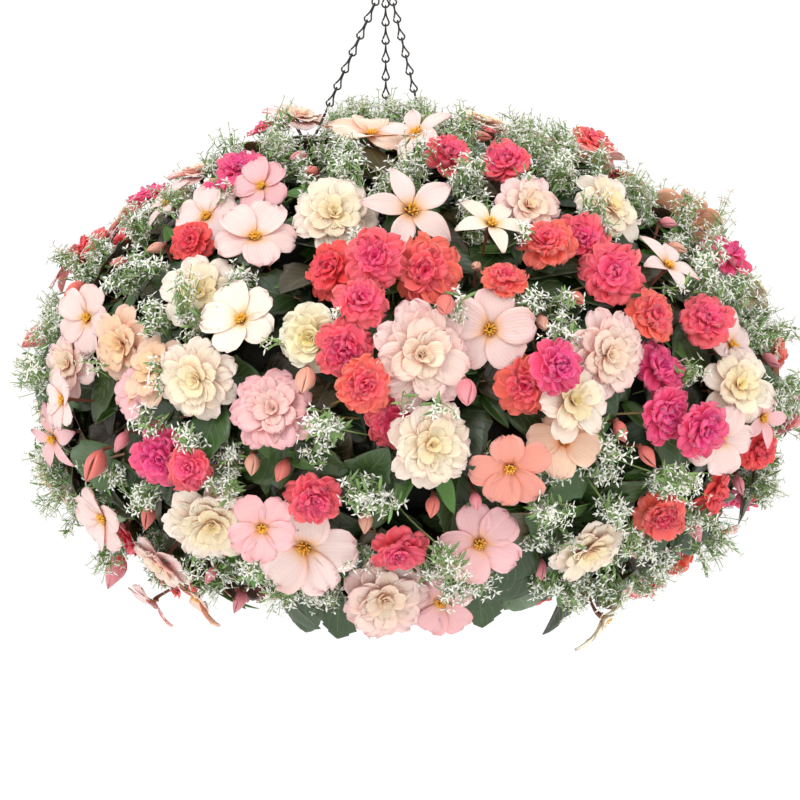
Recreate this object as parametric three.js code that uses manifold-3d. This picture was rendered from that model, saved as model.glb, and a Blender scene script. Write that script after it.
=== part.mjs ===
// A hanging basket of trailing begonias, double impatiens and white euphorbia.
// Millimetres, +Z up, +X to the right and +Y away from a viewer in front.
// The origin is the point of the S-hook's upper bend that bears on a bracket.
import * as THREE from "three";
import { mergeVertices } from "three/addons/utils/BufferGeometryUtils.js";
import Module from "manifold-3d";

const wasm = await Module();
wasm.setup();

// ---------------------------------------------------------------- driving dimensions
const HOOK_WIRE = 4;
const HOOK_TOP_RADIUS = 14;
const HOOK_LOW_RADIUS = 8;
const JOIN_Z = -60;
const HOOK_LOW_Z = JOIN_Z + HOOK_LOW_RADIUS;
const HOOK_SPREAD = 26;

const CHAIN_WIRE = 1.7;
const CHAIN_LOOP_WIDTH = 8.2;
const CHAIN_LOOP_LENGTH = 10.85;
const CHAIN_LINKS = 7;
const LEG_WIRE = 2.6;
const LEG_UPRIGHT = 14;
const CHAIN_BITE = 0.45;
const CHAIN_PINCH = 1.15;
const CHAIN_AZIMUTHS = [200.3, 80, -40];
/** The flats of three-sided wire lie this far from its middle. */
const WIRE_FLAT = CHAIN_WIRE / 4;
/** From a link's twist to the middle of the wire at its far end. */
const LOOP_REACH = CHAIN_LOOP_LENGTH - CHAIN_WIRE;
const LINK_PITCH = 2 * LOOP_REACH - 2 * WIRE_FLAT + CHAIN_BITE;

const POT_X = -25;
const RIM_Z = -432;
const RIM_RADIUS = 152;
const LUG_RADIUS = 146;
const POT_MOUTH_RADIUS = 140;
const POT_BASE_RADIUS = 105;
const POT_DEPTH = 165;
const POT_WALL = 2.5;
const SOIL_DROP = 22;

const PLANT_CENTRE = new THREE.Vector3(24, 0, -422);
const CORE_RADIUS = 305;
const CORE_HEIGHT = 185;
const CORE_SAG = 25;
const CORE_THICKNESS = 20;
const CORE_ROOT = -12;
const CORE_TOP = 10;
const SKIRT_START = 120;
const SKIRT_END = 160;
const SKIRT_END_RADIUS = 172;
const SKIRT_END_Z = -185;
const BLOOM_HEIGHT = 52;
const STEM_HEIGHT = 7;
const GAP = 0.3;

// The stems share out the circle so that the hanger's three legs pass midway between them.
const SECTORS = 10;
const SECTOR_ANGLE = 360 / SECTORS;
const SECTOR_TURN = 8;

// The view that the front flowers are placed by: an 800-pixel frame seen from straight in front.
const VIEW_DISTANCE = 2800;
const VIEW_CENTRE_PIXEL = 400;
const VIEW_AIM_X = 13.8;
const VIEW_AIM_Z = -450.5;
const MM_PER_PIXEL = 0.95;

// ---------------------------------------------------------------- the flowers seen from the front
// Each row is: pixel x, pixel y, width in mm, form.
const FRONT_BEGONIAS = [
  [422, 355, 84, "full"], [303, 550, 84, "single"], [372, 130, 76, "single"],
  [212, 525, 78, "full"], [413, 208, 80, "star"], [335, 212, 66, "full"],
  [310, 338, 54, "full"], [272, 408, 66, "full"], [195, 380, 66, "full"],
  [150, 370, 60, "double"], [130, 395, 52, "single"], [120, 345, 60, "double"],
  [240, 318, 60, "single"], [200, 292, 62, "double"], [433, 445, 68, "full"],
  [490, 330, 66, "single"], [610, 355, 72, "full"], [575, 400, 62, "double"],
  [565, 440, 56, "single"], [510, 470, 60, "single"], [480, 545, 64, "single"],
  [492, 220, 64, "star"], [530, 205, 58, "double"], [612, 205, 66, "double"],
  [670, 262, 62, "star"], [255, 235, 62, "single"], [205, 215, 54, "single"],
  [200, 170, 60, "double"], [165, 200, 56, "star"], [125, 215, 58, "double"],
  [300, 115, 62, "double"], [415, 130, 60, "star"], [260, 185, 48, "single"],
  [85, 318, 54, "single"], [67, 365, 54, "double"], [40, 335, 46, "bud"],
  [60, 400, 52, "single"], [50, 440, 56, "star"], [95, 465, 40, "bud"],
  [100, 520, 60, "single"], [160, 565, 62, "double"], [115, 570, 42, "bud"],
  [152, 604, 50, "single"], [262, 530, 56, "single"], [385, 600, 72, "full"],
  [440, 604, 60, "single"], [590, 552, 68, "full"], [740, 385, 64, "double"],
  [765, 418, 50, "star"], [720, 440, 56, "single"], [735, 345, 60, "single"],
  [466, 392, 36, "bud"], [305, 380, 36, "bud"], [445, 305, 32, "bud"],
];
const FRONT_IMPATIENS = [
  [425, 270, 58, "rose"], [375, 257, 50, "rose"], [330, 268, 50, "rose"],
  [345, 350, 48, "rose"], [365, 385, 46, "rose"], [395, 420, 48, "rose"],
  [362, 299, 44, "rose"], [613, 272, 56, "rose"], [547, 240, 48, "rose"],
  [583, 238, 46, "rose"], [505, 277, 38, "rose"], [525, 385, 50, "rose"],
  [560, 365, 46, "rose"], [655, 315, 48, "rose"], [708, 318, 48, "rose"],
  [725, 252, 50, "rose"], [660, 368, 50, "rose"], [668, 415, 52, "rose"],
  [705, 430, 50, "rose"], [663, 518, 48, "rose"], [718, 495, 42, "rose"],
  [762, 450, 42, "rose"], [160, 458, 52, "rose"], [188, 468, 40, "rose"],
  [315, 500, 46, "rose"], [400, 553, 48, "rose"], [85, 253, 52, "rose"],
  [150, 195, 44, "rose"], [240, 167, 44, "rose"], [218, 190, 44, "rose"],
  [190, 240, 38, "rose"], [268, 128, 40, "rose"], [505, 160, 48, "rose"],
  [450, 152, 42, "rose"], [595, 142, 46, "rose"], [75, 290, 30, "bud"],
];
// Each row is: pixel x, pixel y, length in mm, heading in degrees anticlockwise from the right.
const FRONT_LEAVES = [
  [305, 262, 92, -70], [470, 470, 100, -65], [425, 492, 88, -115], [215, 342, 84, -100],
  [150, 490, 90, -75], [190, 500, 82, -45], [515, 550, 88, -80], [478, 580, 84, -110],
  [45, 290, 76, 165], [560, 500, 90, -50], [630, 450, 82, -60], [350, 470, 84, -100],
  [540, 320, 80, -30], [460, 300, 74, 40], [120, 430, 80, -150], [620, 520, 84, -40],
  [250, 450, 86, -95], [680, 470, 78, -20], [640, 220, 74, 30], [280, 150, 70, 120],
];

// ---------------------------------------------------------------- small helpers
const radians = THREE.MathUtils.degToRad;
const vector = (x, y, z) => new THREE.Vector3(x, y, z);

/** A repeatable stream of numbers from 0 to 1. */
function randomStream(seed) {
  let state = seed >>> 0;
  return () => {
    state = (Math.imul(state, 1664525) + 1013904223) >>> 0;
    return state / 4294967296;
  };
}

// ---------------------------------------------------------------- the shape of the planting
/** The core's meridian: radius and height at an angle in degrees down from the top. */
function coreProfile(angle) {
  const t = radians(Math.min(angle, SKIRT_START));
  const r = CORE_RADIUS * Math.sin(t);
  const z = CORE_HEIGHT * Math.cos(t) - CORE_SAG * Math.sin(t) ** 2;
  const share = Math.max(angle - SKIRT_START, 0) / (SKIRT_END - SKIRT_START);
  return [r + (SKIRT_END_RADIUS - r) * share, z + (SKIRT_END_Z - z) * share];
}

/** The outward normal of that meridian, as radius and height. */
function coreNormal(angle) {
  const [r0, z0] = coreProfile(angle - 0.5);
  const [r1, z1] = coreProfile(angle + 0.5);
  const length = Math.hypot(r1 - r0, z1 - z0);
  return [(z0 - z1) / length, (r1 - r0) / length];
}

/** The point at a height over the core. */
function overCore(azimuth, angle, height) {
  const [r, z] = coreProfile(angle);
  const [nr, nz] = coreNormal(angle);
  const a = radians(azimuth);
  const radius = r + nr * height;
  return vector(
    PLANT_CENTRE.x + radius * Math.cos(a),
    PLANT_CENTRE.y + radius * Math.sin(a),
    PLANT_CENTRE.z + z + nz * height,
  );
}

/** The outward direction there. */
function outwards(azimuth, angle) {
  const [nr, nz] = coreNormal(angle);
  const a = radians(azimuth);
  return vector(nr * Math.cos(a), nr * Math.sin(a), nz);
}

/** The angle down from the top at which a surface over the core has a given height. */
function angleAtHeight(z, height) {
  let low = 0;
  let high = SKIRT_END;
  for (let i = 0; i < 30; i++) {
    const middle = (low + high) / 2;
    if (coreProfile(middle)[1] + coreNormal(middle)[1] * height > z) low = middle;
    else high = middle;
  }
  return low;
}

/** How far a point stands out from the core, along the line from the planting's centre. */
function heightOver(point) {
  const z = point.z - PLANT_CENTRE.z;
  const r = Math.hypot(point.x - PLANT_CENTRE.x, point.y - PLANT_CENTRE.y);
  let low = 0;
  let high = SKIRT_END;
  for (let i = 0; i < 16; i++) {
    const middle = (low + high) / 2;
    const [coreR, coreZ] = coreProfile(middle);
    if (Math.atan2(coreR, coreZ) < Math.atan2(r, z)) low = middle;
    else high = middle;
  }
  return Math.hypot(r, z) - Math.hypot(...coreProfile(low));
}

/** Where a pixel of the front view meets the surface at a height over the core. */
function atPixel(px, py, height) {
  let y = 0;
  let x = 0;
  let z = 0;
  let angle = 90;
  for (let i = 0; i < 6; i++) {
    const scale = (MM_PER_PIXEL * (VIEW_DISTANCE + y)) / VIEW_DISTANCE;
    x = VIEW_AIM_X + (px - VIEW_CENTRE_PIXEL) * scale;
    z = VIEW_AIM_Z - (py - VIEW_CENTRE_PIXEL) * scale;
    angle = angleAtHeight(z - PLANT_CENTRE.z, height);
    const radius = coreProfile(angle)[0] + coreNormal(angle)[0] * height;
    const side = x - PLANT_CENTRE.x;
    y = -Math.sqrt(Math.max(radius * radius - side * side, 0));
  }
  const azimuth = THREE.MathUtils.radToDeg(Math.atan2(y, x - PLANT_CENTRE.x));
  return { point: vector(x, y, z), azimuth, angle };
}

/** Angles down from the top that share out the core's area evenly, for a share from 0 to 1. */
function angleOfShare(share) {
  let total = 0;
  const areas = [];
  for (let angle = CORE_TOP; angle < SKIRT_END; angle++) {
    const [r0, z0] = coreProfile(angle);
    const [r1, z1] = coreProfile(angle + 1);
    total += (r0 + r1) * Math.hypot(r1 - r0, z1 - z0);
    areas.push(total);
  }
  const i = areas.findIndex((area) => area >= share * total);
  return CORE_TOP + i + 0.5;
}

// ---------------------------------------------------------------- room that is already taken
const taken = [];

/** Small balls that cover a piece, with one large ball round them all. */
function cover(owner, balls) {
  const centre = vector(0, 0, 0);
  balls.forEach(([point]) => centre.addScaledVector(point, 1 / balls.length));
  const reach = Math.max(...balls.map(([point, radius]) => point.distanceTo(centre) + radius));
  return { owner, balls, centre, reach };
}

/** Whether a cover is clear of everything that others have placed. */
function isClear(piece) {
  return !taken.some((other) => {
    if (other.owner === piece.owner && other.fused) return false;
    if (other.centre.distanceTo(piece.centre) > other.reach + piece.reach) return false;
    return other.balls.some(([p, r]) =>
      piece.balls.some(([q, s]) => p.distanceToSquared(q) < (r + s) ** 2),
    );
  });
}

/** Balls along a line of points. */
function ballsAlong(points, radius, spacing) {
  const balls = [];
  for (let i = 1; i < points.length; i++) {
    const steps = Math.max(1, Math.ceil(points[i].distanceTo(points[i - 1]) / spacing));
    for (let s = 0; s <= steps; s++)
      balls.push([points[i - 1].clone().lerp(points[i], s / steps), radius]);
  }
  return balls;
}

/** Two directions square to a third. */
function crossAxes(direction) {
  const helper = Math.abs(direction.z) < 0.9 ? vector(0, 0, 1) : vector(1, 0, 0);
  const side = helper.clone().cross(direction).normalize();
  return [side, direction.clone().cross(side)];
}

/** Balls over a flower head: its middle, an inner ring and an outer ring. */
function headBalls(head) {
  const { centre, facing, radius } = head;
  const [side, up] = crossAxes(facing);
  const balls = [[centre.clone().addScaledVector(facing, -0.12 * radius), 0.36 * radius]];
  for (const [count, ring, size, drop] of [[5, 0.42, 0.25, 0], [9, 0.78, 0.21, 0.02]])
    for (let i = 0; i < count; i++) {
      const a = (2 * Math.PI * i) / count;
      const point = centre.clone().addScaledVector(facing, -drop * radius);
      point.addScaledVector(side, ring * radius * Math.cos(a));
      point.addScaledVector(up, ring * radius * Math.sin(a));
      balls.push([point, size * radius]);
    }
  return balls;
}

// ---------------------------------------------------------------- stems from the soil
const SOIL_Z = RIM_Z - SOIL_DROP;
const ROOT_DEPTH = 14;
const STEM_KINDS = {
  begonia: { turn: 0, soilRadius: 92, wire: 3.0, sides: 4, exit: 74 },
  impatiens: {
    turn: 12, soilRadius: 106, wire: 2.4, sides: 4, exit: 76,
    run: [32, 54, 76, 98, 120, 138],
  },
  euphorbia: {
    turn: -12, soilRadius: 120, wire: 1.7, sides: 3, exit: 54,
    run: [32, 54, 76, 98, 120],
  },
};

/** The azimuth of one stem of a kind. */
const stemAzimuth = (kind, i) =>
  SECTOR_TURN + (i + 0.5) * SECTOR_ANGLE + STEM_KINDS[kind].turn;

/** A stem's way from its hole in the soil to the core, and through it if it trails outside. */
function stemInside(kind, i) {
  const { soilRadius, exit, run } = STEM_KINDS[kind];
  const azimuth = stemAzimuth(kind, i);
  const a = radians(azimuth);
  const overPot = (radius, z) =>
    vector(POT_X + radius * Math.cos(a), radius * Math.sin(a), z);
  return [
    overPot(soilRadius, SOIL_Z - ROOT_DEPTH),
    overPot(soilRadius, SOIL_Z + 6),
    overPot(soilRadius + 10, RIM_Z + 22),
    overCore(azimuth, exit, -60),
    overCore(azimuth, exit, run ? STEM_HEIGHT : CORE_ROOT),
  ];
}

/** The stretch of a trailing stem that lies along the outside of the core. */
const stemOutside = (kind, i) =>
  STEM_KINDS[kind].run.map((angle) => overCore(stemAzimuth(kind, i), angle, STEM_HEIGHT));

/** The point of that stretch at an angle down from the top. */
function stemPoint(kind, i, angle) {
  const { run } = STEM_KINDS[kind];
  const held = THREE.MathUtils.clamp(angle, run[0] + 2, run.at(-1) - 2);
  const next = run.findIndex((stop) => stop > held);
  const points = stemOutside(kind, i);
  const share = (held - run[next - 1]) / (run[next] - run[next - 1]);
  return points[next - 1].lerp(points[next], share);
}

const ownerOf = (kind, i) => `${kind}_shoot_${String(i + 1).padStart(2, "0")}`;
const turned = (azimuth) => (((azimuth - SECTOR_TURN) % 360) + 360) % 360;
const sectorOf = (azimuth) => Math.floor(turned(azimuth) / SECTOR_ANGLE);
/** The shoot of a kind that is nearest to an azimuth. */
const shootAt = (kind, azimuth) => sectorOf(azimuth - STEM_KINDS[kind].turn);

/** A point of the hook's wire, on a bend of a given inner radius and centre height. */
function bendPoint(radius, z, degrees) {
  const a = radians(degrees);
  const line = radius + HOOK_WIRE / 2;
  return vector(line * Math.cos(a), 0, z + line * Math.sin(a));
}

/** One leg of the hanger: its lug on the rim, and the straight line down to just above it. */
function hangerLine(index) {
  const a = radians(CHAIN_AZIMUTHS[index]);
  const lug = vector(POT_X + LUG_RADIUS * Math.cos(a), LUG_RADIUS * Math.sin(a), RIM_Z);
  const above = lug.clone().add(vector(0, 0, LEG_UPRIGHT));
  const seat = bendPoint(HOOK_LOW_RADIUS, HOOK_LOW_Z, 270 + HOOK_SPREAD * [-1, 0, 1][index]);
  const direction = above.clone().sub(seat).normalize();
  const start = seat.addScaledVector(direction, -(HOOK_WIRE / 2 + GAP + CHAIN_WIRE));
  return { lug, above, direction, start };
}

function takeRoomForHangerAndStems() {
  CHAIN_AZIMUTHS.forEach((_, index) => {
    const { start, above } = hangerLine(index);
    taken.push(cover("hanger", ballsAlong([start, above], 6, 8)));
  });
  for (const kind of ["impatiens", "euphorbia"])
    for (let i = 0; i < SECTORS; i++) {
      const balls = ballsAlong(stemOutside(kind, i), STEM_KINDS[kind].wire + 1, 5);
      taken.push({ ...cover(ownerOf(kind, i), balls), fused: true });
    }
}

// ---------------------------------------------------------------- placing flower heads
/** Where a flower's stalk starts: on its begonia core, or on the nearest stem of its kind. */
function footOf(kind, azimuth, angle, slide, edge = 9) {
  if (kind !== "begonia")
    return stemPoint(kind, shootAt(kind, azimuth), angle + slide * 0.25);
  const width = Math.max(coreProfile(angle)[0], 40);
  const within = (turned(azimuth) % SECTOR_ANGLE) / SECTOR_ANGLE;
  const margin = Math.min(edge / (radians(SECTOR_ANGLE) * width), 0.5);
  const share = THREE.MathUtils.clamp(within + (slide * 0.4) / width, margin, 1 - margin);
  const place = SECTOR_TURN + (sectorOf(azimuth) + share) * SECTOR_ANGLE;
  return overCore(place, THREE.MathUtils.clamp(angle, CORE_TOP + 3, SKIRT_END - 3), CORE_ROOT);
}

/** One try at a flower: its head, its stalk and the room that both take. */
function flowerTry(kind, form, point, facing, radius, azimuth, angle, slide) {
  const owner = ownerOf(kind, shootAt(kind, azimuth));
  const foot = footOf(kind, azimuth, angle, slide);
  const head = { kind, form, owner, centre: point, facing, radius, foot };
  const calyx = point.clone().addScaledVector(facing, -0.4 * radius);
  const stalk = ballsAlong([foot, calyx], 2.6, 5).slice(3, -1);
  return { head, headCover: cover(owner, headBalls(head)), stalkCover: cover(owner, stalk) };
}

const SLIDES = [0, 24, -24, 48, -48, 80, -80];

/** Places a flower at the first of its tries that is clear, and says whether one was. */
function placeFlower(flowers, kind, form, spots, facing, width, azimuth, angle) {
  for (const scale of [1, 0.9, 0.8])
    for (const point of spots)
      for (const slide of SLIDES) {
        const radius = (width / 2) * scale;
        const made = flowerTry(kind, form, point, facing, radius, azimuth, angle, slide);
        if (!isClear(made.headCover)) break;
        if (!isClear(made.stalkCover)) continue;
        taken.push(made.headCover, made.stalkCover);
        flowers.push(made.head);
        return true;
      }
  return false;
}

const TOWARDS_VIEWER = 0.45;

/** A flower seen from the front keeps its pixel, and moves only along the line of sight. */
function placeFrontFlower(flowers, kind, [px, py, width, form]) {
  const { point, azimuth, angle } = atPixel(px, py, BLOOM_HEIGHT);
  const facing = outwards(azimuth, angle).add(vector(0, -TOWARDS_VIEWER, 0)).normalize();
  const eye = vector(VIEW_AIM_X, -VIEW_DISTANCE, VIEW_AIM_Z);
  const sight = eye.sub(point).normalize();
  const spots = [0, 10, -10, 20, -18, 30, 40].map((step) =>
    point.clone().addScaledVector(sight, step),
  );
  return placeFlower(flowers, kind, form, spots, facing, width, azimuth, angle);
}

const GOLDEN_ANGLE = 137.508;

/** Sites spread evenly over the core by a golden spiral. */
function spreadSites(count, turn) {
  return Array.from({ length: count }, (_, i) => ({
    azimuth: (turn + i * GOLDEN_ANGLE) % 360,
    angle: angleOfShare((i + 0.5) / count),
  }));
}

const BACK_SITES = 150;
const BEGONIA_SHARE = 0.6;

/** The flowers that the front view hides, as dense as those that it shows. */
function placeHiddenFlowers(flowers) {
  const random = randomStream(11);
  for (const { azimuth, angle } of spreadSites(BACK_SITES, 0)) {
    const [pick, size, tiltX, tiltY, tiltZ, lift, formPick] = Array.from({ length: 7 }, random);
    const out = outwards(azimuth, angle);
    const point = overCore(azimuth, angle, BLOOM_HEIGHT - 8 + 16 * lift);
    const inSight = -out.y > 0.12 && angle < 152;
    if (inSight) continue;
    const tilt = vector(tiltX - 0.5, tiltY - 0.5, tiltZ - 0.6);
    const facing = out.clone().addScaledVector(tilt, 0.9).normalize();
    const kind = pick < BEGONIA_SHARE ? "begonia" : "impatiens";
    const width = kind === "begonia" ? 50 + 32 * size : 40 + 16 * size;
    const begoniaForm = formPick < 0.5 ? "double" : formPick < 0.8 ? "single" : "star";
    const form = kind === "begonia" ? begoniaForm : "rose";
    const spots = [0, 10, -10, 20].map((step) => point.clone().addScaledVector(out, step));
    placeFlower(flowers, kind, form, spots, facing, width, azimuth, angle);
  }
}

const SPRAY_SITES = 42;
const SPRAY_WIDTH = 20;

/** The small white euphorbia heads that stand a little proud of the flowers. */
function placeSprays(flowers) {
  const random = randomStream(23);
  for (const { azimuth, angle } of spreadSites(SPRAY_SITES, 60)) {
    const [lift, tiltX, tiltY] = Array.from({ length: 3 }, random);
    if (angle > 140) continue;
    const out = outwards(azimuth, angle);
    const facing = out.clone().add(vector(tiltX - 0.5, tiltY - 0.5, 0.3)).normalize();
    const point = overCore(azimuth, angle, BLOOM_HEIGHT + 4 + 22 * lift);
    const spots = [0, -14, -26].map((step) => point.clone().addScaledVector(out, step));
    placeFlower(flowers, "euphorbia", "spray", spots, facing, SPRAY_WIDTH, azimuth, angle);
  }
}

// ---------------------------------------------------------------- placing leaves
/** Half the width of a begonia leaf on its broad and narrow side, and the depth of its teeth. */
const BEGONIA_LEAF = { broad: 0.38, narrow: 0.28, tooth: 0.16, pairs: 3, stalk: 0.2 };
const LANCE_LEAF = { broad: 0.19, narrow: 0.19, tooth: 0, pairs: 1, stalk: 0 };
const LEAF_STALK = 0.018;
const LEAF_FOLD = 0.35;
const LEAF_CURL = 0.16;

/** How far the blade has swelled at a share of the leaf's length. */
const swellAt = (u, stalk) => Math.sin(Math.PI * ((u - stalk) / (1 - stalk)) ** 0.7) ** 0.8;

/** The outline of a leaf of unit length, from its base round its tip and back. */
function leafOutline({ broad, narrow, tooth, pairs, stalk }) {
  const edge = (width, sign) =>
    Array.from({ length: pairs }, (_, i) => {
      const u = stalk + ((1 - stalk) * (i + 0.7)) / (pairs + 0.5);
      const cut = i % 2 ? 1 - tooth : 1 + tooth;
      return [u, sign * width * swellAt(u, stalk) * cut];
    });
  const left = edge(broad, 1);
  const right = edge(narrow, -1).reverse();
  if (stalk === 0) return [[0, 0], ...left, [1, 0], ...right];
  const root = [[0, LEAF_STALK], [stalk, LEAF_STALK]];
  const back = [[stalk, -LEAF_STALK], [0, -LEAF_STALK]];
  return [...root, ...left, [1, 0], ...right, ...back];
}

/** The frame of a leaf: its base, its way out, its left and its upper side. */
function leafFrame(base, out, heading, rise, length) {
  const [side, up] = crossAxes(out);
  const flat = side.multiplyScalar(Math.cos(heading)).addScaledVector(up, Math.sin(heading));
  const along = flat.multiplyScalar(Math.cos(rise)).addScaledVector(out, Math.sin(rise));
  along.normalize();
  const face = out.clone().addScaledVector(along, -out.dot(along)).normalize();
  return { base, along, face, left: face.clone().cross(along), length };
}

/** A point of a leaf: its halves fold up a little from the midrib, and its tip curves back. */
function leafPoint({ base, along, face, left, length }, u, v) {
  return base
    .clone()
    .addScaledVector(along, u * length)
    .addScaledVector(left, v * length)
    .addScaledVector(face, length * (LEAF_FOLD * Math.abs(v) - LEAF_CURL * u * u));
}

/** Balls over a leaf's blade. */
function leafBalls(frame, shape) {
  const balls = [];
  for (let u = 0.125; u <= 1; u += 0.125) {
    const swell = u > shape.stalk ? swellAt(u, shape.stalk) : 0;
    for (let step = -3; step <= 3; step++) {
      const v = (step / 3) * (step < 0 ? shape.narrow : shape.broad);
      balls.push([leafPoint(frame, u, v * swell * 0.95), 4]);
    }
  }
  return balls;
}

/** The balls past a leaf's stalk stand at least this high over the core. */
const LEAF_ROOTED = 14;
const LEAF_RISEN = 6;
const RISES = [38, 26, 14];
const TURNS = [0, 40, -40, 80, -80, 140];

/** Places a leaf on the core, or on a stem, where it is clear. */
function placeLeaf(leaves, owner, shape, base, out, heading, length) {
  for (const scale of [1, 0.8])
    for (const rise of RISES)
      for (const turn of TURNS) {
        const angle = radians(heading + turn);
        const frame = leafFrame(base, out, angle, radians(rise), length * scale);
        const balls = leafBalls(frame, shape);
        if (balls.slice(LEAF_ROOTED).some(([point]) => heightOver(point) < LEAF_RISEN)) continue;
        const room = cover(owner, balls);
        if (!isClear(room)) continue;
        taken.push(room);
        leaves.push({ owner, shape, ...frame });
        return true;
      }
  return false;
}

const LEAF_SITES = 60;
const LEAF_EDGE = 30;
const LEAF_TOP = 30;

function placeBegoniaLeaves(leaves) {
  const random = randomStream(37);
  for (const [px, py, length, heading] of FRONT_LEAVES) {
    const { azimuth, angle } = atPixel(px, py, BLOOM_HEIGHT / 2);
    const base = footOf("begonia", azimuth, angle, 0, LEAF_EDGE);
    const owner = ownerOf("begonia", sectorOf(azimuth));
    placeLeaf(leaves, owner, BEGONIA_LEAF, base, outwards(azimuth, angle), heading, length);
  }
  for (const { azimuth, angle } of spreadSites(LEAF_SITES, 200)) {
    const [size, turn] = Array.from({ length: 2 }, random);
    if (angle < LEAF_TOP) continue;
    const base = footOf("begonia", azimuth, angle, 0, LEAF_EDGE);
    const owner = ownerOf("begonia", sectorOf(azimuth));
    const heading = -90 + 140 * (turn - 0.5);
    const length = 62 + 34 * size;
    placeLeaf(leaves, owner, BEGONIA_LEAF, base, outwards(azimuth, angle), heading, length);
  }
}

const LANCES_A_SHOOT = 2;

function placeLanceLeaves(leaves) {
  const random = randomStream(53);
  for (let i = 0; i < SECTORS; i++)
    for (let k = 0; k < LANCES_A_SHOOT; k++) {
      const [place, size, turn] = Array.from({ length: 3 }, random);
      const azimuth = stemAzimuth("impatiens", i);
      const angle = 30 + (100 * (k + place)) / LANCES_A_SHOOT;
      const base = stemPoint("impatiens", i, angle);
      const heading = 360 * turn;
      const owner = ownerOf("impatiens", i);
      const length = 46 + 18 * size;
      placeLeaf(leaves, owner, LANCE_LEAF, base, outwards(azimuth, angle), heading, length);
    }
}

// ---------------------------------------------------------------- solids
/** A closed geometry as a solid for joining and cutting. */
function solid(geometry) {
  const plain = new THREE.BufferGeometry();
  plain.setAttribute("position", geometry.getAttribute("position"));
  if (geometry.index) plain.setIndex(geometry.index);
  const merged = mergeVertices(plain, 1e-4);
  return new wasm.Manifold(
    new wasm.Mesh({
      numProp: 3,
      vertProperties: new Float32Array(merged.getAttribute("position").array),
      triVerts: new Uint32Array(merged.index.array),
    }),
  );
}

const joined = (solids) => solids.reduce((whole, next) => whole.add(next));

/** A node's mesh: its main body, without the loose scraps that cutting can leave. */
function nodeMesh(name, body, material) {
  const bodies = body.decompose();
  bodies.sort((a, b) => b.volume() - a.volume());
  const rest = bodies.slice(1).reduce((sum, b) => sum + Math.abs(b.volume()), 0);
  if (rest > 60) console.log(`${name}: ${bodies.length} bodies, ${rest.toFixed(0)} mm3 loose`);
  const made = bodies[0].getMesh();
  const geometry = new THREE.BufferGeometry();
  const points = [];
  for (let i = 0; i < made.numVert; i++)
    points.push(...made.vertProperties.subarray(i * made.numProp, i * made.numProp + 3));
  geometry.setAttribute("position", new THREE.Float32BufferAttribute(points, 3));
  geometry.setIndex(new THREE.BufferAttribute(made.triVerts, 1));
  geometry.computeVertexNormals();
  const mesh = new THREE.Mesh(geometry, material);
  mesh.name = name;
  return mesh;
}

/** A geometry from corner points and triangles. */
function facets(points, triangles) {
  const geometry = new THREE.BufferGeometry();
  const numbers = points.flatMap((p) => [p.x, p.y, p.z]);
  geometry.setAttribute("position", new THREE.Float32BufferAttribute(numbers, 3));
  geometry.setIndex(triangles.flat());
  return geometry;
}

/** A solid from corner points and triangles, turned to face outwards. */
function outwardSolid(points, triangles) {
  const made = solid(facets(points, triangles));
  if (made.volume() > 0) return made;
  return solid(facets(points, triangles.map(([a, b, c]) => [a, c, b])));
}

/** A straight rod between two points. */
function rod(from, to, fromRadius, toRadius, sides) {
  const length = from.distanceTo(to);
  const geometry = new THREE.CylinderGeometry(toRadius, fromRadius, length, sides, 1);
  const direction = to.clone().sub(from).normalize();
  const turn = new THREE.Quaternion().setFromUnitVectors(vector(0, 1, 0), direction);
  const middle = from.clone().add(to).multiplyScalar(0.5);
  geometry.applyMatrix4(new THREE.Matrix4().compose(middle, turn, vector(1, 1, 1)));
  return solid(geometry);
}

/** Points round a centre, in the plane of two axes. */
function ringPoints(centre, side, up, radius, count, turn = 0) {
  return Array.from({ length: count }, (_, i) => {
    const a = turn + (2 * Math.PI * i) / count;
    return centre
      .clone()
      .addScaledVector(side, radius * Math.cos(a))
      .addScaledVector(up, radius * Math.sin(a));
  });
}

/** A round bar that follows a line of points, mitred at each. */
function tube(points, radius, sides) {
  const last = points.length - 1;
  const corners = [];
  let side = null;
  points.forEach((point, i) => {
    const ahead = points[Math.min(i + 1, last)].clone().sub(points[Math.max(i - 1, 0)]);
    const direction = ahead.normalize();
    const helper = side ?? crossAxes(direction)[0];
    side = helper.clone().addScaledVector(direction, -helper.dot(direction)).normalize();
    corners.push(...ringPoints(point, side, direction.clone().cross(side), radius, sides));
  });
  const triangles = [];
  for (let i = 0; i < last; i++)
    for (let k = 0; k < sides; k++) {
      const a = i * sides + k;
      const b = i * sides + ((k + 1) % sides);
      triangles.push([a, b, b + sides], [a, b + sides, a + sides]);
    }
  const end = last * sides;
  for (let k = 2; k < sides; k++) triangles.push([0, k, k - 1], [end, end + k - 1, end + k]);
  return solid(facets(corners, triangles));
}

/** A round bar along a smooth curve. */
function bar(points, radius, sides, steps) {
  const section = new THREE.Shape();
  for (let i = 0; i < sides; i++) {
    const a = (2 * Math.PI * i) / sides;
    const method = i ? "lineTo" : "moveTo";
    section[method](radius * Math.cos(a), radius * Math.sin(a));
  }
  section.closePath();
  const extrudePath = new THREE.CatmullRomCurve3(points, false, "centripetal");
  return solid(new THREE.ExtrudeGeometry(section, { steps, extrudePath }));
}

// ---------------------------------------------------------------- flowers and leaves as solids
/** The triangles between two rings of a solid, of unlike counts, each given by its first corner. */
function bridge(lowStart, lowCount, highStart, highCount) {
  const triangles = [];
  let low = 0;
  let high = 0;
  while (low < lowCount || high < highCount) {
    const a = lowStart + (low % lowCount);
    const b = highStart + (high % highCount);
    const highNext = (high + 0.5) / highCount <= (low + 0.5) / lowCount;
    if (high < highCount && (highNext || low === lowCount)) {
      triangles.push([a, highStart + ((high + 1) % highCount), b]);
      high++;
    } else {
      triangles.push([a, lowStart + ((low + 1) % lowCount), b]);
      low++;
    }
  }
  return triangles;
}

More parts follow.
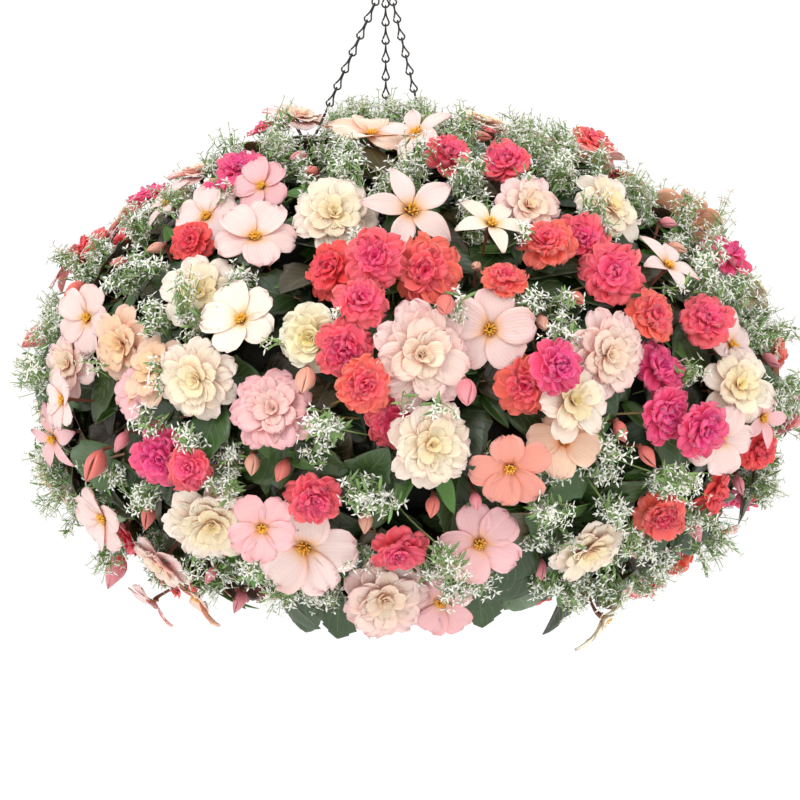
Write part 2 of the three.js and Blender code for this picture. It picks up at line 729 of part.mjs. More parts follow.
/** A flower: a three-sided stalk that widens into a head of notched petals. */
function flowerSolid({ kind, form, centre, facing, radius, foot }) {
  const { petals, notch, back, ring, middle, slim = 1 } = FORMS[form];
  const [side, up] = crossAxes(facing);
  const reach = radius * slim;
  const along = (z) => centre.clone().addScaledVector(facing, z * radius);
  const stalk = STALK_RADIUS[kind];
  const calyx = along(-back);
  const way = calyx.clone().sub(foot).normalize();
  const flat = side.clone().addScaledVector(way, -side.dot(way)).normalize();
  const step = (2 * Math.PI) / petals;
  const points = [
    ...ringPoints(foot, flat, way.clone().cross(flat), stalk, 3),
    ...ringPoints(calyx, side, up, stalk * 1.5, 3),
  ];
  const tips = ringPoints(along(0), side, up, reach, petals);
  const cuts = ringPoints(along(-0.06), side, up, reach * notch, petals, step / 2);
  tips.forEach((tip, i) => points.push(tip, cuts[i]));
  if (ring) points.push(...ringPoints(along(ring[1]), side, up, reach * ring[0], petals, step / 2));
  points.push(along(middle));
  const rim = 6;
  const top = points.length - 1;
  const inner = rim + 2 * petals;
  const triangles = [[0, 2, 1], ...bridge(0, 3, 3, 3), ...bridge(3, 3, rim, 2 * petals)];
  for (let i = 0; i < petals; i++) {
    const next = (i + 1) % petals;
    const [tip, cut, nextTip] = [rim + 2 * i, rim + 2 * i + 1, rim + 2 * next];
    if (!ring) {
      triangles.push([tip, cut, top], [cut, nextTip, top]);
      continue;
    }
    triangles.push([tip, cut, inner + i], [cut, nextTip, inner + i]);
    triangles.push([nextTip, inner + next, inner + i], [inner + i, inner + next, top]);
  }
  return solid(facets(points, triangles));
}

/** Heads by form, in shares of their radius; the fullest have an inner ring of petals. */
const FORMS = {
  full: { petals: 5, notch: 0.8, back: 0.45, ring: [0.5, 0.2], middle: 0.24 },
  double: { petals: 4, notch: 0.8, back: 0.45, ring: [0.5, 0.2], middle: 0.24 },
  single: { petals: 4, notch: 0.62, back: 0.4, middle: 0.12 },
  star: { petals: 5, notch: 0.5, back: 0.4, middle: 0.12 },
  rose: { petals: 4, notch: 0.84, back: 0.45, middle: 0.4 },
  bud: { petals: 3, notch: 0.72, back: 0.8, middle: 0.9, slim: 0.6 },
  spray: { petals: 3, notch: 0.4, back: 0.35, middle: 0.2 },
};
const STALK_RADIUS = { begonia: 1.6, impatiens: 1.4, euphorbia: 1.0 };

const BLADE = 0.8;

/** A leaf's thin blade, split into triangles alike on both faces. */
function leafSolid({ shape, ...frame }) {
  const outline = leafOutline(shape);
  const cut = THREE.ShapeUtils.triangulateShape(
    outline.map(([u, v]) => new THREE.Vector2(u, v)),
    [],
  );
  const count = outline.length;
  const points = [1, -1].flatMap((sign) =>
    outline.map(([u, v]) => leafPoint(frame, u, v).addScaledVector(frame.face, (sign * BLADE) / 2)),
  );
  const triangles = [];
  for (const [a, b, c] of cut) triangles.push([a, b, c], [count + c, count + b, count + a]);
  for (let i = 0; i < count; i++) {
    const next = (i + 1) % count;
    triangles.push([i, next, count + i], [next, count + next, count + i]);
  }
  return outwardSolid(points, triangles);
}

// ---------------------------------------------------------------- the begonia cores
const CORE_ANGLES = [CORE_TOP, 32, 54, 76, 98, SKIRT_START, SKIRT_END];
const CORE_COLUMNS = 2;
const PASSAGE_ROOM = 1.6;

/** One sector of the tangled core of stems and shaded leaves, as a closed shell piece. */
function coreSector(i) {
  const rows = CORE_ANGLES.length;
  const columns = CORE_COLUMNS + 1;
  const points = [];
  for (const height of [0, -CORE_THICKNESS])
    for (const angle of CORE_ANGLES)
      for (let k = 0; k < columns; k++) {
        const radius = coreProfile(angle)[0];
        const inset = THREE.MathUtils.radToDeg(GAP / (radius - CORE_THICKNESS));
        const share = k / CORE_COLUMNS;
        const start = SECTOR_TURN + i * SECTOR_ANGLE + inset;
        const azimuth = start + share * (SECTOR_ANGLE - 2 * inset);
        points.push(overCore(azimuth, angle, height));
      }
  const outer = (row, column) => row * columns + column;
  const inner = (row, column) => rows * columns + row * columns + column;
  const triangles = [];
  const square = (a, b, c, d) => triangles.push([a, b, c], [a, c, d]);
  for (let row = 0; row < rows - 1; row++)
    for (let k = 0; k < CORE_COLUMNS; k++) {
      square(outer(row, k), outer(row + 1, k), outer(row + 1, k + 1), outer(row, k + 1));
      square(inner(row, k), inner(row, k + 1), inner(row + 1, k + 1), inner(row + 1, k));
    }
  const last = CORE_COLUMNS;
  for (let row = 0; row < rows - 1; row++) {
    square(outer(row, 0), inner(row, 0), inner(row + 1, 0), outer(row + 1, 0));
    square(outer(row, last), outer(row + 1, last), inner(row + 1, last), inner(row, last));
  }
  for (let k = 0; k < CORE_COLUMNS; k++) {
    square(outer(0, k), outer(0, k + 1), inner(0, k + 1), inner(0, k));
    square(outer(rows - 1, k), inner(rows - 1, k), inner(rows - 1, k + 1), outer(rows - 1, k + 1));
  }
  return solid(facets(points, triangles));
}

/** What passes through a core sector: the trailing stems and the hanger's wires, a little fat. */
function passages(i) {
  const cuts = [];
  for (const kind of ["impatiens", "euphorbia"]) {
    const [before, beyond] = [-2 * CORE_THICKNESS, CORE_THICKNESS].map((height) =>
      overCore(stemAzimuth(kind, i), STEM_KINDS[kind].exit, height),
    );
    const radius = STEM_KINDS[kind].wire + PASSAGE_ROOM;
    cuts.push(rod(before, beyond, radius, radius, 4));
  }
  CHAIN_AZIMUTHS.forEach((_, index) => {
    const { start, above } = hangerLine(index);
    cuts.push(rod(start, above, LEG_WIRE + PASSAGE_ROOM, LEG_WIRE + PASSAGE_ROOM, 4));
  });
  return joined(cuts);
}

/** A stem from its root to the core, with the stretch outside if it trails there. */
function stemSolid(kind, i) {
  const { wire, sides, run } = STEM_KINDS[kind];
  const inside = tube(stemInside(kind, i), wire, sides);
  return run ? inside.add(tube(stemOutside(kind, i), wire, sides)) : inside;
}

// ---------------------------------------------------------------- pot, soil and hanger
const POT_SEGMENTS = 24;

function lathe(profile, segments) {
  const points = profile.map(([r, z]) => new THREE.Vector2(r, z));
  const geometry = new THREE.LatheGeometry(points, segments);
  geometry.rotateX(Math.PI / 2);
  geometry.translate(POT_X, 0, RIM_Z);
  return solid(geometry);
}

const FLANGE = 3;
const LUG_HOLE_RADIUS = 2.4;
const DRAIN_RADIUS = 5;
const DRAIN_CIRCLE = 60;

/** The plain tapered pot with its flat rim, three lug holes and four drain holes. */
function potSolid() {
  const base = -POT_DEPTH;
  const profile = [
    [0, base],
    [POT_BASE_RADIUS, base],
    [POT_MOUTH_RADIUS + POT_WALL, -FLANGE],
    [RIM_RADIUS, -FLANGE],
    [RIM_RADIUS, 0],
    [POT_MOUTH_RADIUS, 0],
    [POT_BASE_RADIUS - POT_WALL, base + POT_WALL],
    [0, base + POT_WALL],
  ];
  let pot = lathe(profile, POT_SEGMENTS);
  for (let index = 0; index < CHAIN_AZIMUTHS.length; index++) {
    const { lug } = hangerLine(index);
    const below = lug.clone().add(vector(0, 0, -2 * FLANGE));
    const above = lug.clone().add(vector(0, 0, FLANGE));
    pot = pot.subtract(rod(below, above, LUG_HOLE_RADIUS, LUG_HOLE_RADIUS, 6));
  }
  for (let i = 0; i < 4; i++) {
    const a = radians(45 + 90 * i);
    const x = POT_X + DRAIN_CIRCLE * Math.cos(a);
    const y = DRAIN_CIRCLE * Math.sin(a);
    const low = vector(x, y, RIM_Z + base - 2);
    const high = vector(x, y, RIM_Z + base + 2 * POT_WALL);
    pot = pot.subtract(rod(low, high, DRAIN_RADIUS, DRAIN_RADIUS, 6));
  }
  return pot;
}

/** The compost that fills the pot, with a hole for each stem. */
function soilSolid() {
  const taper = (POT_MOUTH_RADIUS - POT_BASE_RADIUS + POT_WALL) / (POT_DEPTH - POT_WALL);
  const topRadius = POT_MOUTH_RADIUS - taper * SOIL_DROP - 2 * GAP;
  const profile = [
    [0, -POT_DEPTH + POT_WALL + GAP],
    [POT_BASE_RADIUS - POT_WALL - 2 * GAP, -POT_DEPTH + POT_WALL + GAP],
    [topRadius, -SOIL_DROP],
    [0, -SOIL_DROP],
  ];
  let soil = lathe(profile, POT_SEGMENTS);
  for (const kind of Object.keys(STEM_KINDS))
    for (let i = 0; i < SECTORS; i++) {
      const [foot, mouth] = stemInside(kind, i);
      const low = foot.clone().add(vector(0, 0, -GAP));
      const radius = (STEM_KINDS[kind].wire + GAP) * Math.SQRT2;
      soil = soil.subtract(rod(low, mouth, radius, radius, 4));
    }
  return soil;
}

/** The S-hook: an open upper bend for the bracket and a lower bend for the chains. */
function hookSolid() {
  const points = [];
  for (let degrees = 205; degrees >= -30; degrees -= 29)
    points.push(bendPoint(HOOK_TOP_RADIUS, -HOOK_TOP_RADIUS, degrees));
  for (let degrees = 150; degrees <= 385; degrees += 29)
    points.push(bendPoint(HOOK_LOW_RADIUS, HOOK_LOW_Z, degrees));
  return bar(points, HOOK_WIRE / 2, 5, 20);
}

/** A closed loop of round wire through a ring of corners, mitred at each. */
function wireLoop(corners, radius, sides) {
  const count = corners.length;
  const centre = vector(0, 0, 0);
  corners.forEach((corner) => centre.addScaledVector(corner, 1 / count));
  const points = [];
  corners.forEach((corner, i) => {
    const before = corner.clone().sub(corners[(i + count - 1) % count]).normalize();
    const after = corners[(i + 1) % count].clone().sub(corner).normalize();
    const along = before.clone().add(after).normalize();
    const bend = before.clone().sub(after).normalize();
    const stretch = 1 / bend.clone().cross(after).length() - 1;
    const away = corner.clone().sub(centre);
    away.addScaledVector(along, -away.dot(along)).normalize();
    for (const point of ringPoints(vector(0, 0, 0), away, along.clone().cross(away), radius, sides))
      points.push(point.addScaledVector(bend, stretch * point.dot(bend)).add(corner));
  });
  const triangles = [];
  for (let i = 0; i < count; i++)
    for (let k = 0; k < sides; k++) {
      const [low, high] = [i * sides, ((i + 1) % count) * sides];
      const next = (k + 1) % sides;
      triangles.push([low + k, low + next, high + next], [low + k, high + next, high + k]);
    }
  return outwardSolid(points, triangles);
}

/** The two far corners of half a link, at a reach from its twist along the chain. */
function loopEnd(twist, along, across) {
  const far = twist.clone().addScaledVector(along, LOOP_REACH);
  const half = (CHAIN_LOOP_WIDTH - CHAIN_WIRE) / 2;
  return [1, -1].map((sign) => far.clone().addScaledVector(across, sign * half));
}

/** One link: a loop pinched at its middle and twisted there by a right angle. */
function linkSolid(twist, along) {
  const [side, up] = crossAxes(along);
  const [lowLeft, lowRight] = loopEnd(twist, along, up);
  const [topLeft, topRight] = loopEnd(twist, along.clone().negate(), side);
  const pinch = side.clone().add(up).normalize().multiplyScalar(CHAIN_PINCH);
  const left = twist.clone().add(pinch);
  const right = twist.clone().sub(pinch);
  return wireLoop([lowLeft, left, topLeft, topRight, right, lowRight], CHAIN_WIRE / 2, 3);
}

/** How far down the line from the hook the twist of a link lies. */
const linkPlace = (link) => (link + 0.5) * LINK_PITCH + 3 * WIRE_FLAT;

/** A chain of twisted links, fused where they bear on each other. */
function chainSolid(index) {
  const { start, direction } = hangerLine(index);
  const links = [];
  for (let link = 0; link < CHAIN_LINKS; link++)
    links.push(linkSolid(start.clone().addScaledVector(direction, linkPlace(link)), direction));
  return joined(links);
}

/** The stiff wire leg from the last link to the rim: an eye above and a bent foot below. */
function legSolid(index) {
  const { start, lug, above, direction } = hangerLine(index);
  const radius = LEG_WIRE / 2;
  const lastBar = linkPlace(CHAIN_LINKS - 1) + LOOP_REACH;
  const eyeBar = lastBar - 2 * WIRE_FLAT - GAP;
  const from = start.clone().addScaledVector(direction, eyeBar + LOOP_REACH);
  const [across] = crossAxes(direction);
  const corners = [from, ...loopEnd(from, direction.clone().negate(), across)];
  const eye = wireLoop(corners, CHAIN_WIRE / 2, 3);
  const under = lug.clone().add(vector(0, 0, -FLANGE - GAP - radius));
  const outward = vector(lug.x - POT_X, lug.y, 0).normalize();
  const toe = under.clone().addScaledVector(outward, 6);
  const heel = under.clone().add(vector(0, 0, -radius));
  return joined([
    eye,
    rod(from, above.clone().addScaledVector(direction, radius), radius, radius, 4),
    rod(heel, above, radius, radius, 4),
    rod(under.clone().addScaledVector(outward, -radius), toe, radius, radius, 4),
  ]);
}

// ---------------------------------------------------------------- materials
const finish = (color, roughness, metalness = 0) =>
  new THREE.MeshStandardMaterial({ color, roughness, metalness });

const MATERIALS = {
  wire: finish(0x4a4744, 0.5, 0.8),
  pot: finish(0x26332a, 0.6),
  soil: finish(0x2e221a, 0.95),
  begonia: finish(0x4d6b3c, 0.6),
  impatiens: finish(0xf0564f, 0.6),
  euphorbia: finish(0xe9efdf, 0.6),
};

// ---------------------------------------------------------------- the whole object
function placeEverything() {
  const flowers = [];
  const leaves = [];
  takeRoomForHangerAndStems();
  FRONT_BEGONIAS.forEach((row) => placeFrontFlower(flowers, "begonia", row));
  FRONT_IMPATIENS.forEach((row) => placeFrontFlower(flowers, "impatiens", row));
  placeHiddenFlowers(flowers);
  placeBegoniaLeaves(leaves);
  placeLanceLeaves(leaves);
  placeSprays(flowers);
  return { flowers, leaves };
}

function buildShoot(kind, i, flowers, leaves) {
  const owner = ownerOf(kind, i);
  let body = stemSolid(kind, i);
  if (kind === "begonia") body = body.add(coreSector(i).subtract(passages(i)));
  const own = flowers.filter((flower) => flower.owner === owner).map(flowerSolid);
  const blades = leaves.filter((leaf) => leaf.owner === owner).map(leafSolid);
  return nodeMesh(owner, joined([body, ...own, ...blades]), MATERIALS[kind]);
}

function buildBasket() {
  const basket = new THREE.Group();
  basket.add(nodeMesh("hanger_hook", hookSolid(), MATERIALS.wire));
  ["left", "back", "right"].forEach((side, index) => {
    basket.add(nodeMesh(`chain_${side}`, chainSolid(index), MATERIALS.wire));
    basket.add(nodeMesh(`wire_leg_${side}`, legSolid(index), MATERIALS.wire));
  });
  basket.add(nodeMesh("pot", potSolid(), MATERIALS.pot));
  basket.add(nodeMesh("soil", soilSolid(), MATERIALS.soil));
  const { flowers, leaves } = placeEverything();
  for (const kind of Object.keys(STEM_KINDS))
    for (let i = 0; i < SECTORS; i++) basket.add(buildShoot(kind, i, flowers, leaves));
  return basket;
}

export default buildBasket();
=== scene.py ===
"""The looks of a hanging basket of trailing begonias, double impatiens and white euphorbia.

Sizes are millimetres, as in the part's own source, and become metres where a mesh is made.
The same rules and seeds as in that source place every flower, leaf and stem; more growth is
then added between them. In order: the dimensions, the placing, meshes, petals, leaves,
euphorbia, the core, the pot and its hanger, materials, and the floor, lights and camera.
"""

import math
from random import Random

import bpy
import numpy as np
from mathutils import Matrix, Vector


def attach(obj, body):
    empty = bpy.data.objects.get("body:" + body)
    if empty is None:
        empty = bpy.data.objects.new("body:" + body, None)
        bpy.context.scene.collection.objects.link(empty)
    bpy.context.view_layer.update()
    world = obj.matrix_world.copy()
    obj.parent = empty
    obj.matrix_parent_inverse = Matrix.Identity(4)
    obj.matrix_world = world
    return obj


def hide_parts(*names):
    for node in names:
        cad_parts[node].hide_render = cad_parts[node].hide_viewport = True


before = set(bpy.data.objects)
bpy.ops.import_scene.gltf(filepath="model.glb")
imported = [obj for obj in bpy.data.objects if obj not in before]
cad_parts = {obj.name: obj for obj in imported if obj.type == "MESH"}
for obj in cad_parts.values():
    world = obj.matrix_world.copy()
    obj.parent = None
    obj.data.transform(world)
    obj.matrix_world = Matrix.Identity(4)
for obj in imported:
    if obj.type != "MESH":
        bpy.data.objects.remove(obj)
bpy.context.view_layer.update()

METRE = 0.001

# ---------------------------------------------------------------- driving dimensions
HOOK_WIRE = 4
HOOK_TOP_RADIUS = 14
HOOK_LOW_RADIUS = 8
JOIN_Z = -60
HOOK_LOW_Z = JOIN_Z + HOOK_LOW_RADIUS
HOOK_SPREAD = 26

CHAIN_WIRE = 1.7
CHAIN_LOOP_WIDTH = 8.2
CHAIN_LOOP_LENGTH = 10.85
CHAIN_LINKS = 7
LEG_WIRE = 2.6
LEG_UPRIGHT = 14
CHAIN_BITE = 0.45
CHAIN_PINCH = 1.15
CHAIN_AZIMUTHS = [200.3, 80, -40]
WIRE_FLAT = CHAIN_WIRE / 4
LOOP_REACH = CHAIN_LOOP_LENGTH - CHAIN_WIRE
LINK_PITCH = 2 * LOOP_REACH - 2 * WIRE_FLAT + CHAIN_BITE

POT_X = -25
RIM_Z = -432
RIM_RADIUS = 152
LUG_RADIUS = 146
POT_MOUTH_RADIUS = 140
POT_BASE_RADIUS = 105
POT_DEPTH = 165
POT_WALL = 2.5
SOIL_DROP = 22
FLANGE = 3

PLANT_CENTRE = np.array([24.0, 0.0, -422.0])
CORE_RADIUS = 305
CORE_HEIGHT = 185
CORE_SAG = 25
CORE_ROOT = -12
CORE_TOP = 10
SKIRT_START = 120
SKIRT_END = 160
SKIRT_END_RADIUS = 172
SKIRT_END_Z = -185
BLOOM_HEIGHT = 52
STEM_HEIGHT = 7
GAP = 0.3

SECTORS = 10
SECTOR_ANGLE = 360 / SECTORS
SECTOR_TURN = 8

VIEW_DISTANCE = 2800
VIEW_CENTRE_PIXEL = 400
VIEW_AIM_X = 13.8
VIEW_AIM_Z = -450.5
MM_PER_PIXEL = 0.95
FRAME_PIXELS = 800
SENSOR_MM = 36

# ---------------------------------------------------------------- the flowers seen from the front
# Each row is: pixel x, pixel y, width in mm, form, colour.
FRONT_BEGONIAS = [
    (422, 355, 84, "full", "blush"), (303, 550, 84, "single", "blush"),
    (372, 130, 76, "single", "peach"), (212, 525, 78, "full", "cream"),
    (413, 208, 80, "star", "blush"), (335, 212, 66, "full", "cream"),
    (310, 338, 54, "full", "lemon"), (272, 408, 66, "full", "pink"),
    (195, 380, 66, "full", "cream"), (150, 370, 60, "double", "peach"),
    (130, 395, 52, "single", "pink"), (120, 345, 60, "double", "peach"),
    (240, 318, 60, "single", "cream"), (200, 292, 62, "double", "cream"),
    (433, 445, 68, "full", "cream"), (490, 330, 66, "single", "blush"),
    (610, 355, 72, "full", "blush"), (575, 400, 62, "double", "cream"),
    (565, 440, 56, "single", "peach"), (510, 470, 60, "single", "salmon"),
    (480, 545, 64, "single", "pink"), (492, 220, 64, "star", "cream"),
    (530, 205, 58, "double", "blush"), (612, 205, 66, "double", "cream"),
    (670, 262, 62, "star", "blush"), (255, 235, 62, "single", "blush"),
    (205, 215, 54, "single", "blush"), (200, 170, 60, "double", "blush"),
    (165, 200, 56, "star", "blush"), (125, 215, 58, "double", "blush"),
    (300, 115, 62, "double", "blush"), (415, 130, 60, "star", "blush"),
    (260, 185, 48, "single", "pink"), (85, 318, 54, "single", "blush"),
    (67, 365, 54, "double", "blush"), (40, 335, 46, "bud", "salmon"),
    (60, 400, 52, "single", "blush"), (50, 440, 56, "star", "pink"),
    (95, 465, 40, "bud", "salmon"), (100, 520, 60, "single", "blush"),
    (160, 565, 62, "double", "blush"), (115, 570, 42, "bud", "pink"),
    (152, 604, 50, "single", "blush"), (262, 530, 56, "single", "pink"),
    (385, 600, 72, "full", "blush"), (440, 604, 60, "single", "pink"),
    (590, 552, 68, "full", "cream"), (740, 385, 64, "double", "cream"),
    (765, 418, 50, "star", "pink"), (720, 440, 56, "single", "blush"),
    (735, 345, 60, "single", "blush"), (466, 392, 36, "bud", "pink"),
    (305, 380, 36, "bud", "peach"), (445, 305, 32, "bud", "salmon"),
]
FRONT_IMPATIENS = [
    (425, 270, 58, "rose", "coral"), (375, 257, 50, "rose", "rose"),
    (330, 268, 50, "rose", "red"), (345, 350, 48, "rose", "rose"),
    (365, 385, 46, "rose", "coral"), (395, 420, 48, "rose", "rose"),
    (362, 299, 44, "rose", "rose"), (613, 272, 56, "rose", "rose"),
    (547, 240, 48, "rose", "coral"), (583, 238, 46, "rose", "rose"),
    (505, 277, 38, "rose", "coral"), (525, 385, 50, "rose", "coral"),
    (560, 365, 46, "rose", "magenta"), (655, 315, 48, "rose", "coral"),
    (708, 318, 48, "rose", "rose"), (725, 252, 50, "rose", "magenta"),
    (660, 368, 50, "rose", "magenta"), (668, 415, 52, "rose", "magenta"),
    (705, 430, 50, "rose", "magenta"), (663, 518, 48, "rose", "coral"),
    (718, 495, 42, "rose", "red"), (762, 450, 42, "rose", "red"),
    (160, 458, 52, "rose", "magenta"), (188, 468, 40, "rose", "rose"),
    (315, 500, 46, "rose", "rose"), (400, 553, 48, "rose", "rose"),
    (85, 253, 52, "rose", "red"), (150, 195, 44, "rose", "magenta"),
    (240, 167, 44, "rose", "magenta"), (218, 190, 44, "rose", "magenta"),
    (190, 240, 38, "rose", "red"), (268, 128, 40, "rose", "magenta"),
    (505, 160, 48, "rose", "rose"), (450, 152, 42, "rose", "rose"),
    (595, 142, 46, "rose", "coral"), (75, 290, 30, "bud", "coral"),
]
# Each row is: pixel x, pixel y, length in mm, heading in degrees anticlockwise from the right.
FRONT_LEAVES = [
    (305, 262, 92, -70), (470, 470, 100, -65), (425, 492, 88, -115), (215, 342, 84, -100),
    (150, 490, 90, -75), (190, 500, 82, -45), (515, 550, 88, -80), (478, 580, 84, -110),
    (45, 290, 76, 165), (560, 500, 90, -50), (630, 450, 82, -60), (350, 470, 84, -100),
    (540, 320, 80, -30), (460, 300, 74, 40), (120, 430, 80, -150), (620, 520, 84, -40),
    (250, 450, 86, -95), (680, 470, 78, -20), (640, 220, 74, 30), (280, 150, 70, 120),
]

# ---------------------------------------------------------------- small helpers
radians = math.radians
TURN = 2 * math.pi
ANY_TURN = 6.28
GOLDEN_ANGLE = 137.508
STREAM_FACTOR = 1664525
STREAM_STEP = 1013904223
STREAM_SIZE = 2**32


def vector(x, y, z):
    return np.array([x, y, z], float)


def polar(x, radius, azimuth, z):
    """A point at a radius and an azimuth in degrees from an upright axis at x."""
    a = radians(azimuth)
    return vector(x + radius * math.cos(a), radius * math.sin(a), z)


def unit(v):
    return v * (1 / math.sqrt(v @ v))


def units(rows):
    """Many directions at once, each made one unit long."""
    return rows / np.maximum(np.linalg.norm(rows, axis=-1, keepdims=True), 1e-9)


def distance(a, b):
    return math.sqrt((a - b) @ (a - b))


def around(side, up, angle):
    """The direction at an angle in radians from one direction towards another."""
    return side * math.cos(angle) + up * math.sin(angle)


def random_stream(seed):
    """A repeatable stream of numbers from 0 to 1."""
    state = seed
    while True:
        state = (state * STREAM_FACTOR + STREAM_STEP) % STREAM_SIZE
        yield state / STREAM_SIZE


def draws(stream, count):
    return [next(stream) for _ in range(count)]


def random_direction(random):
    z = random.uniform(-1, 1)
    a = random.uniform(0, TURN)
    flat = math.sqrt(1 - z * z)
    return vector(flat * math.cos(a), flat * math.sin(a), z)


# ---------------------------------------------------------------- the shape of the planting
FINE_HALVINGS = 30
COARSE_HALVINGS = 16
SIGHT_ROUNDS = 6


def core_profile(angle):
    """The core's meridian: radius and height at an angle in degrees down from the top."""
    t = np.radians(np.minimum(angle, SKIRT_START))
    r = CORE_RADIUS * np.sin(t)
    z = CORE_HEIGHT * np.cos(t) - CORE_SAG * np.sin(t) ** 2
    share = np.maximum(angle - SKIRT_START, 0) / (SKIRT_END - SKIRT_START)
    return r + (SKIRT_END_RADIUS - r) * share, z + (SKIRT_END_Z - z) * share


def core_normal(angle):
    """The outward normal of that meridian, as radius and height."""
    r0, z0 = core_profile(angle - 0.5)
    r1, z1 = core_profile(angle + 0.5)
    length = np.hypot(r1 - r0, z1 - z0)
    return (z0 - z1) / length, (r1 - r0) / length


def over_core(azimuth, angle, height):
    """The point at a height over the core."""
    r, z = core_profile(angle)
    nr, nz = core_normal(angle)
    return PLANT_CENTRE + polar(0, r + nr * height, azimuth, z + nz * height)


def outwards(azimuth, angle):
    """The outward direction there."""
    nr, nz = core_normal(angle)
    return polar(0, nr, azimuth, nz)


def angle_at_height(z, height):
    """The angle down from the top at which a surface over the core has a given height."""
    low = 0
    high = SKIRT_END
    for _ in range(FINE_HALVINGS):
        middle = (low + high) / 2
        if core_profile(middle)[1] + core_normal(middle)[1] * height > z:
            low = middle
        else:
            high = middle
    return low


def heights_over(points):
    """How far each point stands out from the core, along its line from the planting's centre."""
    z = points[:, 2] - PLANT_CENTRE[2]
    r = np.hypot(points[:, 0] - PLANT_CENTRE[0], points[:, 1] - PLANT_CENTRE[1])
    low = np.zeros(len(points))
    high = np.full(len(points), float(SKIRT_END))
    for _ in range(COARSE_HALVINGS):
        middle = (low + high) / 2
        core_r, core_z = core_profile(middle)
        below = np.arctan2(core_r, core_z) < np.arctan2(r, z)
        low = np.where(below, middle, low)
        high = np.where(below, high, middle)
    return np.hypot(r, z) - np.hypot(*core_profile(low))


def at_pixel(px, py, height):
    """Where a pixel of the front view meets the surface at a height over the core."""
    y = 0
    for _ in range(SIGHT_ROUNDS):
        scale = (MM_PER_PIXEL * (VIEW_DISTANCE + y)) / VIEW_DISTANCE
        x = VIEW_AIM_X + (px - VIEW_CENTRE_PIXEL) * scale
        z = VIEW_AIM_Z - (py - VIEW_CENTRE_PIXEL) * scale
        angle = angle_at_height(z - PLANT_CENTRE[2], height)
        radius = core_profile(angle)[0] + core_normal(angle)[0] * height
        side = x - PLANT_CENTRE[0]
        y = -math.sqrt(max(radius * radius - side * side, 0))
    return vector(x, y, z), math.degrees(math.atan2(y, x - PLANT_CENTRE[0])), angle


def share_areas():
    """The core's area from the top down to each whole degree."""
    angles = np.arange(CORE_TOP, SKIRT_END)
    r0, z0 = core_profile(angles)
    r1, z1 = core_profile(angles + 1)
    return np.cumsum((r0 + r1) * np.hypot(r1 - r0, z1 - z0))


AREAS = share_areas()


def angle_of_share(share):
    """Angles down from the top that share out the core's area evenly, for a share from 0 to 1."""
    return CORE_TOP + int(np.argmax(AREAS >= share * AREAS[-1])) + 0.5


# ---------------------------------------------------------------- room that is already taken
taken = []


def cover(owner, balls, fused=False):
    """Small balls that cover a piece, with one large ball round them all."""
    points = np.array([point for point, _ in balls])
    radii = np.array([radius for _, radius in balls])
    centre = points.mean(0)
    reach = (np.sqrt(((points - centre) ** 2).sum(1)) + radii).max()
    return {"owner": owner, "points": points, "radii": radii, "centre": centre,
            "reach": reach, "fused": fused}


def is_clear(piece):
    """Whether a cover is clear of everything that others have placed."""
    for other in taken:
        if other["fused"] and other["owner"] == piece["owner"]:
            continue
        if distance(other["centre"], piece["centre"]) > other["reach"] + piece["reach"]:
            continue
        apart = ((other["points"][:, None] - piece["points"][None]) ** 2).sum(2)
        if (apart < (other["radii"][:, None] + piece["radii"][None]) ** 2).any():
            return False
    return True


def balls_along(points, radius, spacing):
    """Balls along a line of points."""
    balls = []
    for start, end in zip(points, points[1:]):
        steps = max(1, math.ceil(distance(end, start) / spacing))
        balls += [(start + (end - start) * (s / steps), radius) for s in range(steps + 1)]
    return balls


def cross_axes(direction):
    """Two directions square to a third."""
    helper = vector(0, 0, 1) if abs(direction[2]) < 0.9 else vector(1, 0, 0)
    side = unit(np.cross(helper, direction))
    return side, np.cross(direction, side)


# For each ring of balls: their number, the ring's radius, their size and how far they sit back.
HEAD_BALL_RINGS = ((5, 0.42, 0.25, 0), (9, 0.78, 0.21, 0.02))


def head_balls(centre, facing, radius):
    """Balls over a flower head: its middle, an inner ring and an outer ring."""
    side, up = cross_axes(facing)
    balls = [(centre - 0.12 * radius * facing, 0.36 * radius)]
    for count, ring, size, drop in HEAD_BALL_RINGS:
        for i in range(count):
            out = around(side, up, TURN * i / count)
            balls.append((centre - drop * radius * facing + ring * radius * out, size * radius))
    return balls


# ---------------------------------------------------------------- stems from the soil
SOIL_Z = RIM_Z - SOIL_DROP
ROOT_DEPTH = 14
STEM_KINDS = {
    "begonia": {"turn": 0, "soil_radius": 92, "wire": 3.0, "exit": 74},
    "impatiens": {"turn": 12, "soil_radius": 106, "wire": 2.4, "exit": 76,
                  "run": [32, 54, 76, 98, 120, 138]},
    "euphorbia": {"turn": -12, "soil_radius": 120, "wire": 1.7, "exit": 54,
                  "run": [32, 54, 76, 98, 120]},
}


def stem_azimuth(kind, i):
    return SECTOR_TURN + (i + 0.5) * SECTOR_ANGLE + STEM_KINDS[kind]["turn"]


def stem_inside(kind, i):
    """A stem's way from its hole in the soil to the core, and through it if it trails outside."""
    stem = STEM_KINDS[kind]
    azimuth = stem_azimuth(kind, i)
    radius = stem["soil_radius"]
    return [
        polar(POT_X, radius, azimuth, SOIL_Z - ROOT_DEPTH),
        polar(POT_X, radius, azimuth, SOIL_Z + 6),
        polar(POT_X, radius + 10, azimuth, RIM_Z + 22),
        over_core(azimuth, stem["exit"], -60),
        over_core(azimuth, stem["exit"], STEM_HEIGHT if "run" in stem else CORE_ROOT),
    ]


def stem_outside(kind, i):
    """The stretch of a trailing stem that lies along the outside of the core."""
    azimuth = stem_azimuth(kind, i)
    return [over_core(azimuth, angle, STEM_HEIGHT) for angle in STEM_KINDS[kind]["run"]]


